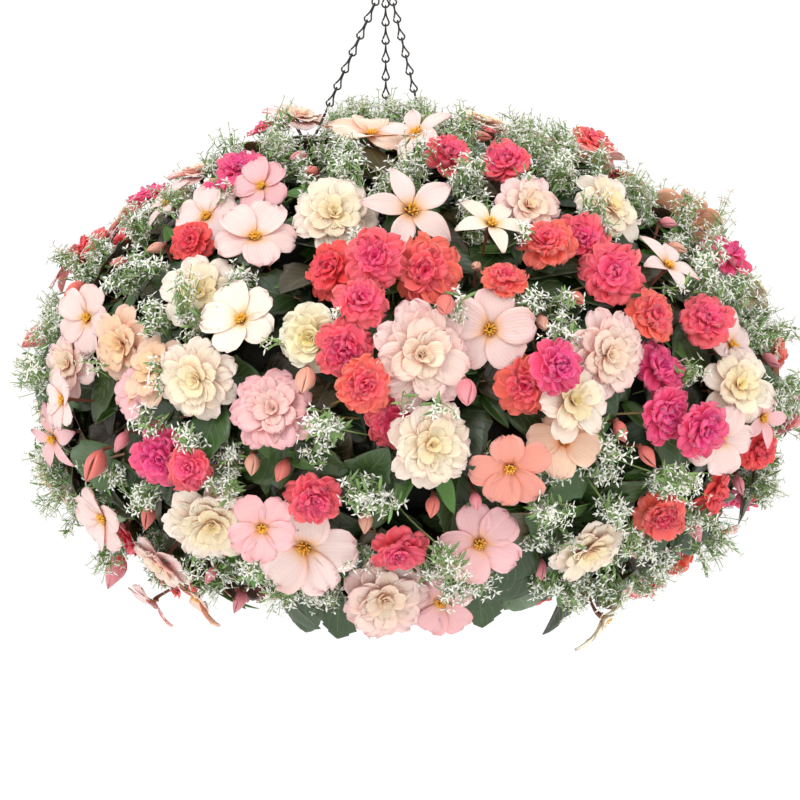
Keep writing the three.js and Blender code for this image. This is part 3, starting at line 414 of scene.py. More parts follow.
def stem_point(kind, i, angle):
    """The point of that stretch at an angle down from the top."""
    run = STEM_KINDS[kind]["run"]
    held = min(max(angle, run[0] + 2), run[-1] - 2)
    following = next(k for k, stop in enumerate(run) if stop > held)
    points = stem_outside(kind, i)
    share = (held - run[following - 1]) / (run[following] - run[following - 1])
    return points[following - 1] + (points[following] - points[following - 1]) * share


def turned(azimuth):
    return math.fmod(math.fmod(azimuth - SECTOR_TURN, 360) + 360, 360)


def sector_of(azimuth):
    return math.floor(turned(azimuth) / SECTOR_ANGLE)


def shoot_at(kind, azimuth):
    """The shoot of a kind that is nearest to an azimuth."""
    return sector_of(azimuth - STEM_KINDS[kind]["turn"])


def bend_point(radius, z, degrees):
    """A point of the hook's wire, on a bend of a given inner radius and centre height."""
    a = radians(degrees)
    line = radius + HOOK_WIRE / 2
    return vector(line * math.cos(a), 0, z + line * math.sin(a))


def hanger_line(index):
    """One leg of the hanger: its lug on the rim, and the straight line down to just above it."""
    lug = polar(POT_X, LUG_RADIUS, CHAIN_AZIMUTHS[index], RIM_Z)
    above = lug + vector(0, 0, LEG_UPRIGHT)
    seat = bend_point(HOOK_LOW_RADIUS, HOOK_LOW_Z, 270 + HOOK_SPREAD * (-1, 0, 1)[index])
    direction = unit(above - seat)
    start = seat - (HOOK_WIRE / 2 + GAP + CHAIN_WIRE) * direction
    return lug, above, direction, start


def take_room_for_hanger_and_stems():
    for index in range(len(CHAIN_AZIMUTHS)):
        _, above, _, start = hanger_line(index)
        taken.append(cover(("hanger", 0), balls_along([start, above], 6, 8)))
    for kind in ("impatiens", "euphorbia"):
        for i in range(SECTORS):
            balls = balls_along(stem_outside(kind, i), STEM_KINDS[kind]["wire"] + 1, 5)
            taken.append(cover((kind, i), balls, fused=True))


# ---------------------------------------------------------------- placing flower heads
def foot_of(kind, azimuth, angle, slide, edge=9):
    """Where a flower's stalk starts: on its begonia core, or on the nearest stem of its kind."""
    if kind != "begonia":
        return stem_point(kind, shoot_at(kind, azimuth), angle + slide * 0.25)
    width = max(core_profile(angle)[0], 40)
    within = math.fmod(turned(azimuth), SECTOR_ANGLE) / SECTOR_ANGLE
    margin = min(edge / (radians(SECTOR_ANGLE) * width), 0.5)
    share = min(max(within + slide * 0.4 / width, margin), 1 - margin)
    place = SECTOR_TURN + (sector_of(azimuth) + share) * SECTOR_ANGLE
    return over_core(place, min(max(angle, CORE_TOP + 3), SKIRT_END - 3), CORE_ROOT)


SLIDES = [0, 24, -24, 48, -48, 80, -80]
FLOWER_SCALES = (1, 0.9, 0.8)
STALK_ROOM = 2.6
STALK_STEP = 5


def place_flower(flowers, kind, form, spots, facing, width, azimuth, angle, tint):
    """Places a flower at the first of its tries that is clear, if any is."""
    owner = (kind, shoot_at(kind, azimuth))
    for scale in FLOWER_SCALES:
        radius = width / 2 * scale
        for point in spots:
            head = cover(owner, head_balls(point, facing, radius))
            if not is_clear(head):
                continue
            for slide in SLIDES:
                foot = foot_of(kind, azimuth, angle, slide)
                calyx = point - 0.4 * radius * facing
                stalk = cover(owner, balls_along([foot, calyx], STALK_ROOM, STALK_STEP)[3:-1])
                if not is_clear(stalk):
                    continue
                taken.extend([head, stalk])
                flowers.append({
                    "kind": kind, "form": form, "shoot": owner[1], "centre": point,
                    "facing": facing, "radius": radius, "foot": foot, "tint": tint,
                })
                return


TOWARDS_VIEWER = 0.45
SIGHT_STEPS = (0, 10, -10, 20, -18, 30, 40)


def place_front_flower(flowers, kind, row):
    """A flower seen from the front keeps its pixel, and moves only along the line of sight."""
    px, py, width, form, tint = row
    point, azimuth, angle = at_pixel(px, py, BLOOM_HEIGHT)
    facing = unit(outwards(azimuth, angle) + vector(0, -TOWARDS_VIEWER, 0))
    sight = unit(vector(VIEW_AIM_X, -VIEW_DISTANCE, VIEW_AIM_Z) - point)
    spots = [point + sight * step for step in SIGHT_STEPS]
    place_flower(flowers, kind, form, spots, facing, width, azimuth, angle, tint)


def spread_sites(count, turn):
    """Sites spread evenly over the core by a golden spiral."""
    for i in range(count):
        yield math.fmod(turn + i * GOLDEN_ANGLE, 360), angle_of_share((i + 0.5) / count)


BACK_SITES = 150
BEGONIA_SHARE = 0.6
FACES_VIEWER = 0.12
LOWEST_BLOOM = 152
HIDDEN_WIDTHS = {"begonia": (50, 82), "impatiens": (40, 56)}
HIDDEN_TINTS = {
    "begonia": ["blush", "cream", "pink", "blush", "peach", "lemon"],
    "impatiens": ["rose", "coral", "magenta", "red"],
}


def place_hidden_flowers(flowers):
    """The flowers that the front view hides, as dense as those that it shows."""
    random = random_stream(11)
    tint_random = random_stream(12)
    for azimuth, angle in spread_sites(BACK_SITES, 0):
        pick, size, tilt_x, tilt_y, tilt_z, lift, form_pick = draws(random, 7)
        out = outwards(azimuth, angle)
        point = over_core(azimuth, angle, BLOOM_HEIGHT - 8 + 16 * lift)
        if -out[1] > FACES_VIEWER and angle < LOWEST_BLOOM:
            continue
        facing = unit(out + 0.9 * vector(tilt_x - 0.5, tilt_y - 0.5, tilt_z - 0.6))
        kind = "begonia" if pick < BEGONIA_SHARE else "impatiens"
        narrowest, widest = HIDDEN_WIDTHS[kind]
        width = narrowest + (widest - narrowest) * size
        begonia_form = "double" if form_pick < 0.5 else "single" if form_pick < 0.8 else "star"
        form = begonia_form if kind == "begonia" else "rose"
        tints = HIDDEN_TINTS[kind]
        tint = tints[int(next(tint_random) * len(tints))]
        spots = [point + out * step for step in (0, 10, -10, 20)]
        place_flower(flowers, kind, form, spots, facing, width, azimuth, angle, tint)


SPRAY_SITES = 42
SPRAY_WIDTH = 20
LOWEST_SPRAY = 140


def place_sprays(flowers):
    """The small white euphorbia heads that stand a little proud of the flowers."""
    random = random_stream(23)
    for azimuth, angle in spread_sites(SPRAY_SITES, 60):
        lift, tilt_x, tilt_y = draws(random, 3)
        if angle > LOWEST_SPRAY:
            continue
        out = outwards(azimuth, angle)
        facing = unit(out + vector(tilt_x - 0.5, tilt_y - 0.5, 0.3))
        point = over_core(azimuth, angle, BLOOM_HEIGHT + 4 + 22 * lift)
        spots = [point + out * step for step in (0, -14, -26)]
        place_flower(flowers, "euphorbia", "spray", spots, facing, SPRAY_WIDTH, azimuth, angle, "white")


# ---------------------------------------------------------------- placing leaves
BEGONIA_LEAF = {"broad": 0.38, "narrow": 0.28, "stalk": 0.2}
LANCE_LEAF = {"broad": 0.19, "narrow": 0.19, "stalk": 0}
LEAF_FOLD = 0.35
LEAF_CURL = 0.16


def swell_at(u, stalk):
    """How far the blade has swelled at a share of the leaf's length."""
    inside = np.clip((u - stalk) / (1 - stalk), 0, 1)
    return np.maximum(np.sin(math.pi * inside**0.7), 0) ** 0.8


def leaf_frame(base, out, heading, rise, length):
    """The frame of a leaf: its base, its way out, its left and its upper side."""
    along = unit(around(around(*cross_axes(out), heading), out, rise))
    face = unit(out - (out @ along) * along)
    return {"base": base, "along": along, "face": face, "left": np.cross(face, along),
            "length": length}


def leaf_point(leaf, u, v):
    """A point of a leaf: its halves fold up from the midrib, and its tip curves back."""
    length = leaf["length"]
    return (
        leaf["base"]
        + leaf["along"] * (u * length)
        + leaf["left"] * (v * length)
        + leaf["face"] * (length * (LEAF_FOLD * abs(v) - LEAF_CURL * u * u))
    )


LEAF_BALL = 4
LEAF_ROOTED = 14
LEAF_RISEN = 6
RISES = [38, 26, 14]
TURNS = [0, 40, -40, 80, -80, 140]


def leaf_balls(leaf, shape):
    """Balls over a leaf's blade."""
    balls = []
    for u in np.arange(1, 9) / 8:
        swell = float(swell_at(u, shape["stalk"])) if u > shape["stalk"] else 0
        for step in range(-3, 4):
            v = step / 3 * (shape["narrow"] if step < 0 else shape["broad"])
            balls.append((leaf_point(leaf, u, v * swell * 0.95), LEAF_BALL))
    return balls


def place_leaf(leaves, owner, shape, base, out, heading, length):
    """Places a leaf on the core, or on a stem, where it is clear."""
    for scale in (1, 0.8):
        for rise in RISES:
            for turn in TURNS:
                leaf = leaf_frame(base, out, radians(heading + turn), radians(rise), length * scale)
                room = cover(owner, leaf_balls(leaf, shape))
                if (heights_over(room["points"][LEAF_ROOTED:]) < LEAF_RISEN).any():
                    continue
                if not is_clear(room):
                    continue
                taken.append(room)
                leaves.append({"kind": owner[0], "shoot": owner[1], **leaf})
                return


LEAF_SITES = 60
LEAF_EDGE = 30
LEAF_TOP = 30


def place_begonia_leaf(leaves, azimuth, angle, heading, length):
    """A leaf that stands on the core of its own sector."""
    base = foot_of("begonia", azimuth, angle, 0, LEAF_EDGE)
    owner = ("begonia", sector_of(azimuth))
    place_leaf(leaves, owner, BEGONIA_LEAF, base, outwards(azimuth, angle), heading, length)


def place_begonia_leaves(leaves):
    """The front's named leaves, and more spread over the whole core."""
    random = random_stream(37)
    for px, py, length, heading in FRONT_LEAVES:
        _, azimuth, angle = at_pixel(px, py, BLOOM_HEIGHT / 2)
        place_begonia_leaf(leaves, azimuth, angle, heading, length)
    for azimuth, angle in spread_sites(LEAF_SITES, 200):
        size, turn = draws(random, 2)
        if angle >= LEAF_TOP:
            place_begonia_leaf(leaves, azimuth, angle, -90 + 140 * (turn - 0.5), 62 + 34 * size)


LANCES_A_SHOOT = 2


def place_lance_leaves(leaves):
    """The narrow leaves along each impatiens stem."""
    random = random_stream(53)
    for i in range(SECTORS):
        for k in range(LANCES_A_SHOOT):
            place, size, turn = draws(random, 3)
            azimuth = stem_azimuth("impatiens", i)
            angle = 30 + 100 * (k + place) / LANCES_A_SHOOT
            base = stem_point("impatiens", i, angle)
            out = outwards(azimuth, angle)
            length = 46 + 18 * size
            place_leaf(leaves, ("impatiens", i), LANCE_LEAF, base, out, 360 * turn, length)


def place_everything():
    """Every flower and leaf of the part's solids, in the order in which they were placed there."""
    flowers = []
    leaves = []
    take_room_for_hanger_and_stems()
    for kind, rows in (("begonia", FRONT_BEGONIAS), ("impatiens", FRONT_IMPATIENS)):
        for row in rows:
            place_front_flower(flowers, kind, row)
    place_hidden_flowers(flowers)
    place_begonia_leaves(leaves)
    place_lance_leaves(leaves)
    place_sprays(flowers)
    return flowers, leaves


# ---------------------------------------------------------------- colours
def colour(red, green, blue):
    """A colour named by its screen values from 0 to 255, as the linear values of a shader."""
    screen = np.array([red, green, blue]) / 255
    return np.where(screen <= 0.04045, screen / 12.92, ((screen + 0.055) / 1.055) ** 2.4)


# Each petal is coloured from its throat to its rim; the heart is the innermost ring of petals.
PETAL_TINTS = {
    "blush": {"throat": (248, 178, 96), "petal": (252, 216, 208), "rim": (250, 200, 200),
              "outside": (240, 146, 146), "heart": (254, 226, 184)},
    "cream": {"throat": (246, 194, 92), "petal": (253, 234, 212), "rim": (252, 226, 218),
              "outside": (247, 192, 180), "heart": (252, 226, 158)},
    "lemon": {"throat": (242, 196, 84), "petal": (252, 242, 206), "rim": (252, 246, 232),
              "outside": (248, 226, 196), "heart": (250, 226, 130)},
    "peach": {"throat": (240, 140, 60), "petal": (253, 208, 178), "rim": (252, 208, 196),
              "outside": (240, 150, 128), "heart": (250, 204, 148)},
    "pink": {"throat": (248, 174, 120), "petal": (250, 186, 188), "rim": (248, 170, 178),
             "outside": (234, 116, 128), "heart": (252, 210, 190)},
    "salmon": {"throat": (240, 140, 90), "petal": (248, 154, 136), "rim": (250, 180, 168),
               "outside": (234, 106, 98), "heart": (248, 174, 138)},
    "coral": {"throat": (244, 44, 96), "petal": (255, 94, 76), "rim": (255, 128, 108),
              "outside": (252, 106, 92), "heart": (255, 70, 116)},
    "red": {"throat": (236, 34, 76), "petal": (252, 64, 62), "rim": (255, 98, 86),
            "outside": (240, 72, 68), "heart": (250, 48, 92)},
    "rose": {"throat": (240, 40, 116), "petal": (255, 80, 96), "rim": (255, 116, 118),
             "outside": (250, 98, 108), "heart": (255, 64, 132)},
    "magenta": {"throat": (226, 34, 124), "petal": (252, 62, 118), "rim": (255, 106, 142),
                "outside": (244, 92, 134), "heart": (246, 50, 144)},
}
GREENS = {
    "begonia": {"upper": colour(48, 76, 30), "lower": colour(112, 70, 54)},
    "impatiens": {"upper": colour(74, 122, 40), "lower": colour(126, 158, 80)},
    "euphorbia": {"upper": colour(116, 150, 78)},
}
STEM_TINTS = {
    "begonia": colour(134, 74, 56),
    "impatiens": colour(140, 118, 66),
    "euphorbia": colour(142, 170, 98),
}
GOLD = colour(236, 176, 44)
WHITE_BRACT = colour(250, 251, 238)
BRONZE = colour(86, 52, 40)
BRONZE_SHARE = 0.16


# ---------------------------------------------------------------- meshes
def fill(items, name, values, kind=np.float32):
    """Sets one property of many elements of a mesh at once."""
    items.foreach_set(name, values.astype(kind).ravel())


def put_in_scene(name, data):
    thing = bpy.data.objects.new(name, data)
    bpy.context.scene.collection.objects.link(thing)
    return thing


class Batch:
    """Points and faces of one kind, with a colour and a place on the petal or leaf at each point."""

    def __init__(self):
        self.points = []
        self.colours = []
        self.places = []
        self.faces = {}
        self.count = 0

    def add(self, points, faces, colours, places):
        """Points as rows, and faces as index rows of equal length or a list of such arrays."""
        self.points.append(points)
        self.colours.append(np.broadcast_to(colours, points.shape))
        self.places.append(np.broadcast_to(places, points.shape))
        for rows in faces:
            self.faces.setdefault(rows.shape[1], []).append(rows + self.count)
        self.count += len(points)

    def to_object(self, name):
        mesh = bpy.data.meshes.new(name)
        points = np.concatenate(self.points) * METRE
        mesh.vertices.add(len(points))
        fill(mesh.vertices, "co", points)
        corners = []
        starts = []
        for sides, rows in self.faces.items():
            rows = np.concatenate(rows)
            starts.append(sum(map(len, corners)) + sides * np.arange(len(rows)))
            corners.append(rows.ravel())
        corners = np.concatenate(corners)
        starts = np.concatenate(starts)
        mesh.loops.add(len(corners))
        fill(mesh.loops, "vertex_index", corners, np.int32)
        mesh.polygons.add(len(starts))
        fill(mesh.polygons, "loop_start", starts, np.int32)
        colours = np.concatenate(self.colours)
        tints = np.concatenate([colours, np.ones((len(colours), 1))], axis=1)
        fill(mesh.attributes.new("tint", "FLOAT_COLOR", "POINT").data, "color", tints)
        place = mesh.attributes.new("place", "FLOAT_VECTOR", "POINT")
        fill(place.data, "vector", np.concatenate(self.places))
        mesh.update(calc_edges=True)
        mesh.shade_smooth()
        return put_in_scene(name, mesh)


batches = {}


def growth(kind, part, i):
    """The batch that gathers one part of one shoot."""
    return batches.setdefault(f"{kind}_{part}_{i + 1:02d}", Batch())


def grid_faces(rows, columns, closed=False):
    """The squares of a grid of points; a closed grid joins its last column to its first."""
    row, column = np.meshgrid(np.arange(rows - 1), np.arange(columns if closed else columns - 1),
                              indexing="ij")
    following = (column + 1) % columns
    squares = [row * columns + column, (row + 1) * columns + column,
               (row + 1) * columns + following, row * columns + following]
    return np.stack(squares, -1).reshape(-1, 4)


shell_cache = {}


def shell_faces(rows, columns):
    """The faces of a thin shell: its upper and lower sides and the rim that joins them."""
    key = (rows, columns)
    if key not in shell_cache:
        upper = grid_faces(rows, columns)
        lower = upper[:, ::-1] + rows * columns
        row = np.arange(rows)
        column = np.arange(columns)
        loop = np.concatenate([
            column, row[1:] * columns + columns - 1,
            (rows - 1) * columns + column[-2::-1], row[-2:0:-1] * columns,
        ])
        after = np.roll(loop, -1)
        rim = np.stack([loop, after, after + rows * columns, loop + rows * columns], -1)
        shell_cache[key] = np.concatenate([upper, lower, rim])
    return shell_cache[key]


def grid_normals(grid):
    return units(np.cross(np.gradient(grid, axis=0), np.gradient(grid, axis=1)))


def add_shell(batch, grid, thickness, upper, lower, place):
    """A thin closed shell on a grid of points; colours and places are grids too."""
    rows, columns = grid.shape[:2]
    offset = grid_normals(grid) * (thickness / 2)
    sides = np.concatenate([(grid + offset).reshape(-1, 3), (grid - offset).reshape(-1, 3)])
    shape = (rows, columns, 3)
    colours = np.concatenate([np.broadcast_to(c, shape).reshape(-1, 3) for c in (upper, lower)])
    place = np.broadcast_to(place, shape).reshape(-1, 3)
    batch.add(sides, [shell_faces(rows, columns)], colours, np.concatenate([place, place]))


def mix(low, high, share):
    return low + (high - low) * share[..., None]


def smooth_step(low, high, value):
    share = np.clip((value - low) / (high - low), 0, 1)
    return share * share * (3 - 2 * share)


def places(share, across, own):
    """For each point: how far along it is, how far across, and a number of its piece's own."""
    return np.stack(np.broadcast_arrays(share, across, own), -1)


def share_grid(first, last, rows, columns):
    """Shares of the length for the rows of a grid, and -1 to 1 across for its columns."""
    return np.linspace(first, last, rows)[:, None], np.linspace(-1, 1, columns)[None]


def grid_from(origin, *steps):
    """The points reached from an origin by amounts, each a grid, along directions."""
    for amount, direction in steps:
        origin = origin + amount[..., None] * direction
    return origin


def smooth_line(points, pieces, closed=False):
    """A smooth line through points, by Catmull-Rom cubic pieces."""
    points = np.asarray(points)
    if closed:
        held = points[np.arange(-1, len(points) + 2) % len(points)]
    else:
        held = np.vstack([2 * points[0] - points[1], points, 2 * points[-1] - points[-2]])
    line = []
    for a, b, c, d in zip(held, held[1:], held[2:], held[3:]):
        for t in np.arange(pieces) / pieces:
            line.append(0.5 * (2 * b + (c - a) * t + (2 * a - 5 * b + 4 * c - d) * t * t
                               + (3 * b - a - 3 * c + d) * t**3))
    if not closed:
        line.append(points[-1])
    return np.array(line)


def tube_rings(line, radii, sides, closed=False):
    """Rings of points round a line, carried along it without a twist."""
    if closed:
        ahead = np.roll(line, -1, 0) - np.roll(line, 1, 0)
    else:
        ahead = np.gradient(line, axis=0)
    ahead = units(ahead)
    side = cross_axes(ahead[0])[0]
    turns = TURN * np.arange(sides) / sides
    rings = []
    for point, way, radius in zip(line, ahead, np.broadcast_to(radii, len(line))):
        side = unit(side - (side @ way) * way)
        up = np.cross(way, side)
        ring = np.cos(turns)[:, None] * side + np.sin(turns)[:, None] * up
        rings.append(point + radius * ring)
    return np.array(rings)


def add_tube(batch, line, radii, sides, tint, closed=False, own=0.0):
    """A round bar along a line."""
    line = np.asarray(line, float)
    count = len(line)
    share = np.repeat(np.linspace(0, 1, count), sides)
    if closed:
        faces = [grid_faces(count + 1, sides, closed=True)[:, ::-1] % (count * sides)]
    else:
        end = np.arange(sides)[None]
        faces = [grid_faces(count, sides, closed=True)[:, ::-1], end[:, ::-1],
                 (count - 1) * sides + end]
    rings = tube_rings(line, radii, sides, closed)
    batch.add(rings.reshape(-1, 3), faces, tint, places(share, 0, own))


# ---------------------------------------------------------------- petals
# A petal's outline: where it is widest, and how round or pointed its ends are.
ROUND_PETAL = {"peak": 0.64, "swell": 2.4, "end": 0.5}
POINTED_PETAL = {"peak": 0.46, "swell": 1.6, "end": 0.95}
PETAL_ROWS = 9
PETAL_COLUMNS = 9
PETAL_THICKNESS = 0.35
PETAL_FOOT = 0.05
PETAL_TIP = 0.985

# Rings of petals from the outside in: count, length and width in shares of the flower's radius,
# the lean from the flower's axis at the foot and at the tip in degrees, cup, ruffle and notch.
HEADS = {
    "full": {"shape": ROUND_PETAL, "drop": 0.24, "rings": [
        (7, 1.10, 0.70, 72, 103, 0.08, 0.04, 0.05), (7, 0.95, 0.66, 66, 95, 0.10, 0.04, 0.05),
        (6, 0.76, 0.58, 58, 87, 0.12, 0.04, 0.04), (5, 0.54, 0.46, 48, 76, 0.16, 0.03, 0.03),
        (4, 0.30, 0.30, 26, 58, 0.24, 0.02, 0), (3, 0.15, 0.2, 4, 10, 0.4, 0.01, 0)]},
    "cupped": {"shape": ROUND_PETAL, "drop": 0.30, "rings": [
        (5, 1.08, 1.10, 66, 98, 0.16, 0.05, 0.02), (5, 0.84, 0.94, 50, 84, 0.24, 0.05, 0.02),
        (4, 0.62, 0.78, 34, 66, 0.32, 0.04, 0), (4, 0.44, 0.56, 18, 48, 0.36, 0.03, 0),
        (3, 0.28, 0.34, 4, 22, 0.4, 0.01, 0)]},
    "double": {"shape": ROUND_PETAL, "drop": 0.24, "rings": [
        (6, 1.10, 0.80, 70, 104, 0.08, 0.05, 0.05), (5, 0.88, 0.72, 60, 92, 0.12, 0.05, 0.05),
        (5, 0.60, 0.50, 48, 78, 0.16, 0.04, 0.03), (4, 0.32, 0.30, 20, 50, 0.26, 0.02, 0)]},
    "single": {"shape": ROUND_PETAL, "drop": 0.2, "stamens": 18, "rings": [
        (5, 1.12, 0.98, 64, 102, 0.10, 0.06, 0.04)]},
    "star": {"shape": POINTED_PETAL, "drop": 0.22, "stamens": 14, "rings": [
        (5, 1.18, 0.52, 62, 108, 0.12, 0.035, 0)]},
    "rose": {"shape": ROUND_PETAL, "drop": 0.30, "rings": [
        (6, 1.08, 0.92, 70, 108, 0.06, 0.13, 0.09), (6, 0.90, 0.80, 58, 96, 0.08, 0.14, 0.09),
        (6, 0.74, 0.64, 44, 80, 0.1, 0.14, 0.08), (5, 0.58, 0.5, 28, 60, 0.12, 0.13, 0.06),
        (4, 0.42, 0.4, 12, 34, 0.14, 0.1, 0.04)]},
}


def petal_half_width(share, peak, swell, end):
    """Half the width at a share of the length, against its widest."""
    stretched = share ** (math.log(0.5) / math.log(peak))
    return np.maximum(1 - np.abs(2 * stretched - 1) ** swell, 0) ** end


def petal_local(shape, length, width, lean_from, lean_to, cup, ruffle, notch, phase):
    """A petal as a grid in its flower's own radius, sideways and height directions."""
    share, across = share_grid(PETAL_FOOT, PETAL_TIP, PETAL_ROWS, PETAL_COLUMNS)
    lean = np.radians(lean_from + (lean_to - lean_from) * share)
    step = length * (PETAL_TIP - PETAL_FOOT) / (PETAL_ROWS - 1)
    radius = np.cumsum(np.sin(lean), 0) * step
    height = np.cumsum(np.cos(lean), 0) * step
    half = width / 2 * petal_half_width(share, **shape) + 0.02 * length
    inwards = cup * half * across**2 * 2
    wave = np.sin(2.6 * math.pi * across + phase) + 0.6 * np.sin(5.4 * math.pi * across - 2 * phase)
    inwards = inwards + ruffle * wave * share**1.6 * (0.35 + 0.65 * np.abs(across))
    back = notch * np.maximum(1 - np.abs(across) * 2.2, 0) * smooth_step(0.8, 1, share)
    radius = radius - inwards * np.cos(lean) - back * np.sin(lean)
    height = height + inwards * np.sin(lean) - back * np.cos(lean)
    return radius, half * across, height, share, across


def petal_colours(tint, share, across, ring_share, flush, light):
    """The upper and lower colours of a petal; a flushed one takes on some of its outer side."""
    tones = {name: colour(*value) for name, value in PETAL_TINTS[tint].items()}
    tones["rim"] = tones["rim"] + (tones["outside"] - tones["rim"]) * flush * 0.7
    tones["petal"] = tones["petal"] + (tones["outside"] - tones["petal"]) * flush * 0.3
    body = mix(tones["petal"], tones["heart"], np.array(ring_share))
    edge = share * (0.75 + 0.25 * np.abs(across))
    upper = mix(tones["throat"], body, smooth_step(0.0, 0.34, share + 0 * across))
    upper = mix(upper, tones["rim"], 0.75 * smooth_step(0.62, 1.0, edge) * (1 - 0.5 * ring_share))
    lower = mix(tones["outside"], body, smooth_step(0.1, 1.2, share + 0 * across) * 0.6)
    return upper * light, lower * light


def head_of(flower):
    """The rings of a flower's form; the lemon full one is cupped like a rose."""
    cupped = flower["form"] == "full" and flower["tint"] == "lemon"
    return HEADS["cupped" if cupped else flower["form"]]


HEAD_TILT = 0.34
DISORDER = 7
ROSE_DISORDER = 13


def add_petal(batch, flower, ring, angle, lift, depth, flush, random):
    """One petal, at an angle round its flower's axis, for a ring at a depth from 0 to 1."""
    _, length, width, lean_from, lean_to, cup, ruffle, notch = ring
    head = head_of(flower)
    radius = flower["radius"]
    facing = flower["facing"]
    side, up = cross_axes(facing)
    lean = random.uniform(-1, 1) * (ROSE_DISORDER if flower["form"] == "rose" else DISORDER)
    r, t, h, share, across = petal_local(
        head["shape"], length * random.uniform(0.9, 1.04), width * random.uniform(0.86, 1.1),
        lean_from + lean, lean_to + 1.4 * lean, cup, ruffle * random.uniform(0.6, 1.4),
        notch, random.uniform(0, ANY_TURN))
    t = t + 0.05 * random.uniform(-1, 1) * share
    foot = flower["centre"] - head["drop"] * radius * facing
    grid = grid_from(foot + lift * radius * facing, (r * radius, around(side, up, angle)),
                     (t * radius, around(up, -side, angle)), (h * radius, facing))
    upper, lower = petal_colours(flower["tint"], share, across, depth, flush,
                                 random.uniform(0.93, 1.03))
    add_shell(batch, grid, PETAL_THICKNESS, upper, lower, places(share, across, random.random()))


def add_petals(batch, flower, random):
    """All rings of petals of one flower, which first tilts a little."""
    flower["facing"] = unit(flower["facing"] + HEAD_TILT * random_direction(random))
    flush = random.uniform(0, 0.5)
    turn = random.uniform(0, TURN)
    rings = head_of(flower)["rings"]
    for level, ring in enumerate(rings):
        count = ring[0]
        turn += math.pi / count + random.uniform(-0.2, 0.2)
        for k in range(count):
            angle = turn + TURN * k / count + random.uniform(-0.12, 0.12)
            lift = 0.03 * level + 0.035 * (k % 2)
            add_petal(batch, flower, ring, angle, lift, level / max(len(rings) - 1, 1), flush, random)


BUD_ROWS = 12
BUD_COLUMNS = 9
BUD_PETALS = 4
BUD_WRAP = 1.35
BUD_SEAT = 0.8
BUD_LENGTH = 1.75
BUD_GIRTH = 0.48
BUD_NOD = 0.9


def bud_axis(flower):
    """A bud nods: it points lower than an open flower."""
    return unit(flower["facing"] + vector(0, 0, -BUD_NOD))


def add_bud(batch, flower, random):
    """A closed bud: petals wrapped round each other in an egg shape with a pointed tip."""
    facing = bud_axis(flower)
    side, up = cross_axes(facing)
    radius = flower["radius"]
    foot = flower["centre"] - BUD_SEAT * radius * facing
    share, across = share_grid(0.02, 0.99, BUD_ROWS, BUD_COLUMNS)
    egg = np.sin(math.pi * share**0.8) ** 0.85
    for level in range(BUD_PETALS):
        turn = level * 2.1 + random.uniform(-0.2, 0.2)
        angle = turn + across * BUD_WRAP * (1 - 0.35 * share)
        spread = radius * (BUD_GIRTH - 0.03 * level) * egg * (1 + 0.10 * across**2 * share)
        height = radius * BUD_LENGTH * share * (1 - 0.12 * across**2)
        grid = grid_from(foot, (spread * np.cos(angle), side), (spread * np.sin(angle), up),
                         (height, facing))
        _, tint = petal_colours(flower["tint"], 0.2 + 0.6 * share, across, 0.0, 0.3,
                                random.uniform(0.95, 1.03))
        tint = tint[:, ::-1]
        add_shell(batch, grid[:, ::-1], PETAL_THICKNESS, tint, tint,
                  places(share, across, random.random()))


STAMEN_RADII = [0.35, 0.35, 0.4, 0.9, 0.7]
STAMEN_SIDES = 5


def add_stamens(batch, flower, count, random):
    """A tuft of golden stamens."""
    radius = flower["radius"]
    facing = flower["facing"]
    axes = cross_axes(facing)
    foot = flower["centre"] - 0.2 * radius * facing
    for k in range(count):
        out = around(*axes, GOLDEN_ANGLE * k)
        spread = 0.17 * radius * math.sqrt((k + 0.5) / count)
        tip = foot + out * spread + facing * radius * random.uniform(0.16, 0.26)
        line = smooth_line([foot + out * spread * 0.4, (foot + tip) / 2 + out * 0.3, tip], 2)
        add_tube(batch, line, STAMEN_RADII, STAMEN_SIDES, GOLD)


def add_stalk(batch, flower, radius, tint, random):
    """A flower's stalk, bowed a little, that swells into the calyx."""
    is_bud = flower["form"] == "bud"
    facing = bud_axis(flower) if is_bud else flower["facing"]
    drop, calyx_drop = (0.76, 0.9) if is_bud else (head_of(flower)["drop"], 0.45)
    end = flower["centre"] - drop * flower["radius"] * facing
    calyx = flower["centre"] - calyx_drop * flower["radius"] * facing
    foot = flower["foot"]
    bow = np.array([random.uniform(-1, 1), random.uniform(-1, 1), -1]) * 0.03 * distance(foot, calyx)
    line = smooth_line([foot, (foot + calyx) / 2 + bow, calyx, end], 4)
    radii = np.interp(np.arange(len(line)), [0, 6, 8, 12], [1, 0.85, 1.1, 2.4]) * radius
    add_tube(batch, line, radii, 7, tint, own=random.random())


STALK_RADIUS = {"begonia": 1.5, "impatiens": 1.3}


def add_flower(flower, random):
    """A begonia or impatiens flower: petals, stamens and stalk."""
    kind, i = flower["kind"], flower["shoot"]
    petals = growth(kind, "petals", i)
    stems = growth(kind, "stems", i)
    if flower["form"] == "bud":
        add_bud(petals, flower, random)
    else:
        add_petals(petals, flower, random)
        add_stamens(petals, flower, head_of(flower).get("stamens", 0), random)
    add_stalk(stems, flower, STALK_RADIUS[kind], STEM_TINTS[kind], random)


# ---------------------------------------------------------------- leaves
# Teeth, the reach of the lobes beside the stalk, and the depth of the ripples between veins.
BLADES = {
    "begonia": {**BEGONIA_LEAF, "teeth": 9, "tooth": 0.24, "lobe": 0.16, "ripple": 0.012},
    "impatiens": {**LANCE_LEAF, "teeth": 14, "tooth": 0.03, "lobe": 0.0, "ripple": 0.006},
}
FINE_GRID = (40, 13)
COARSE_GRID = (12, 7)
LEAF_THICKNESS = 0.5
LEAF_VEINS = 7
VEIN_SLANT = 0.45


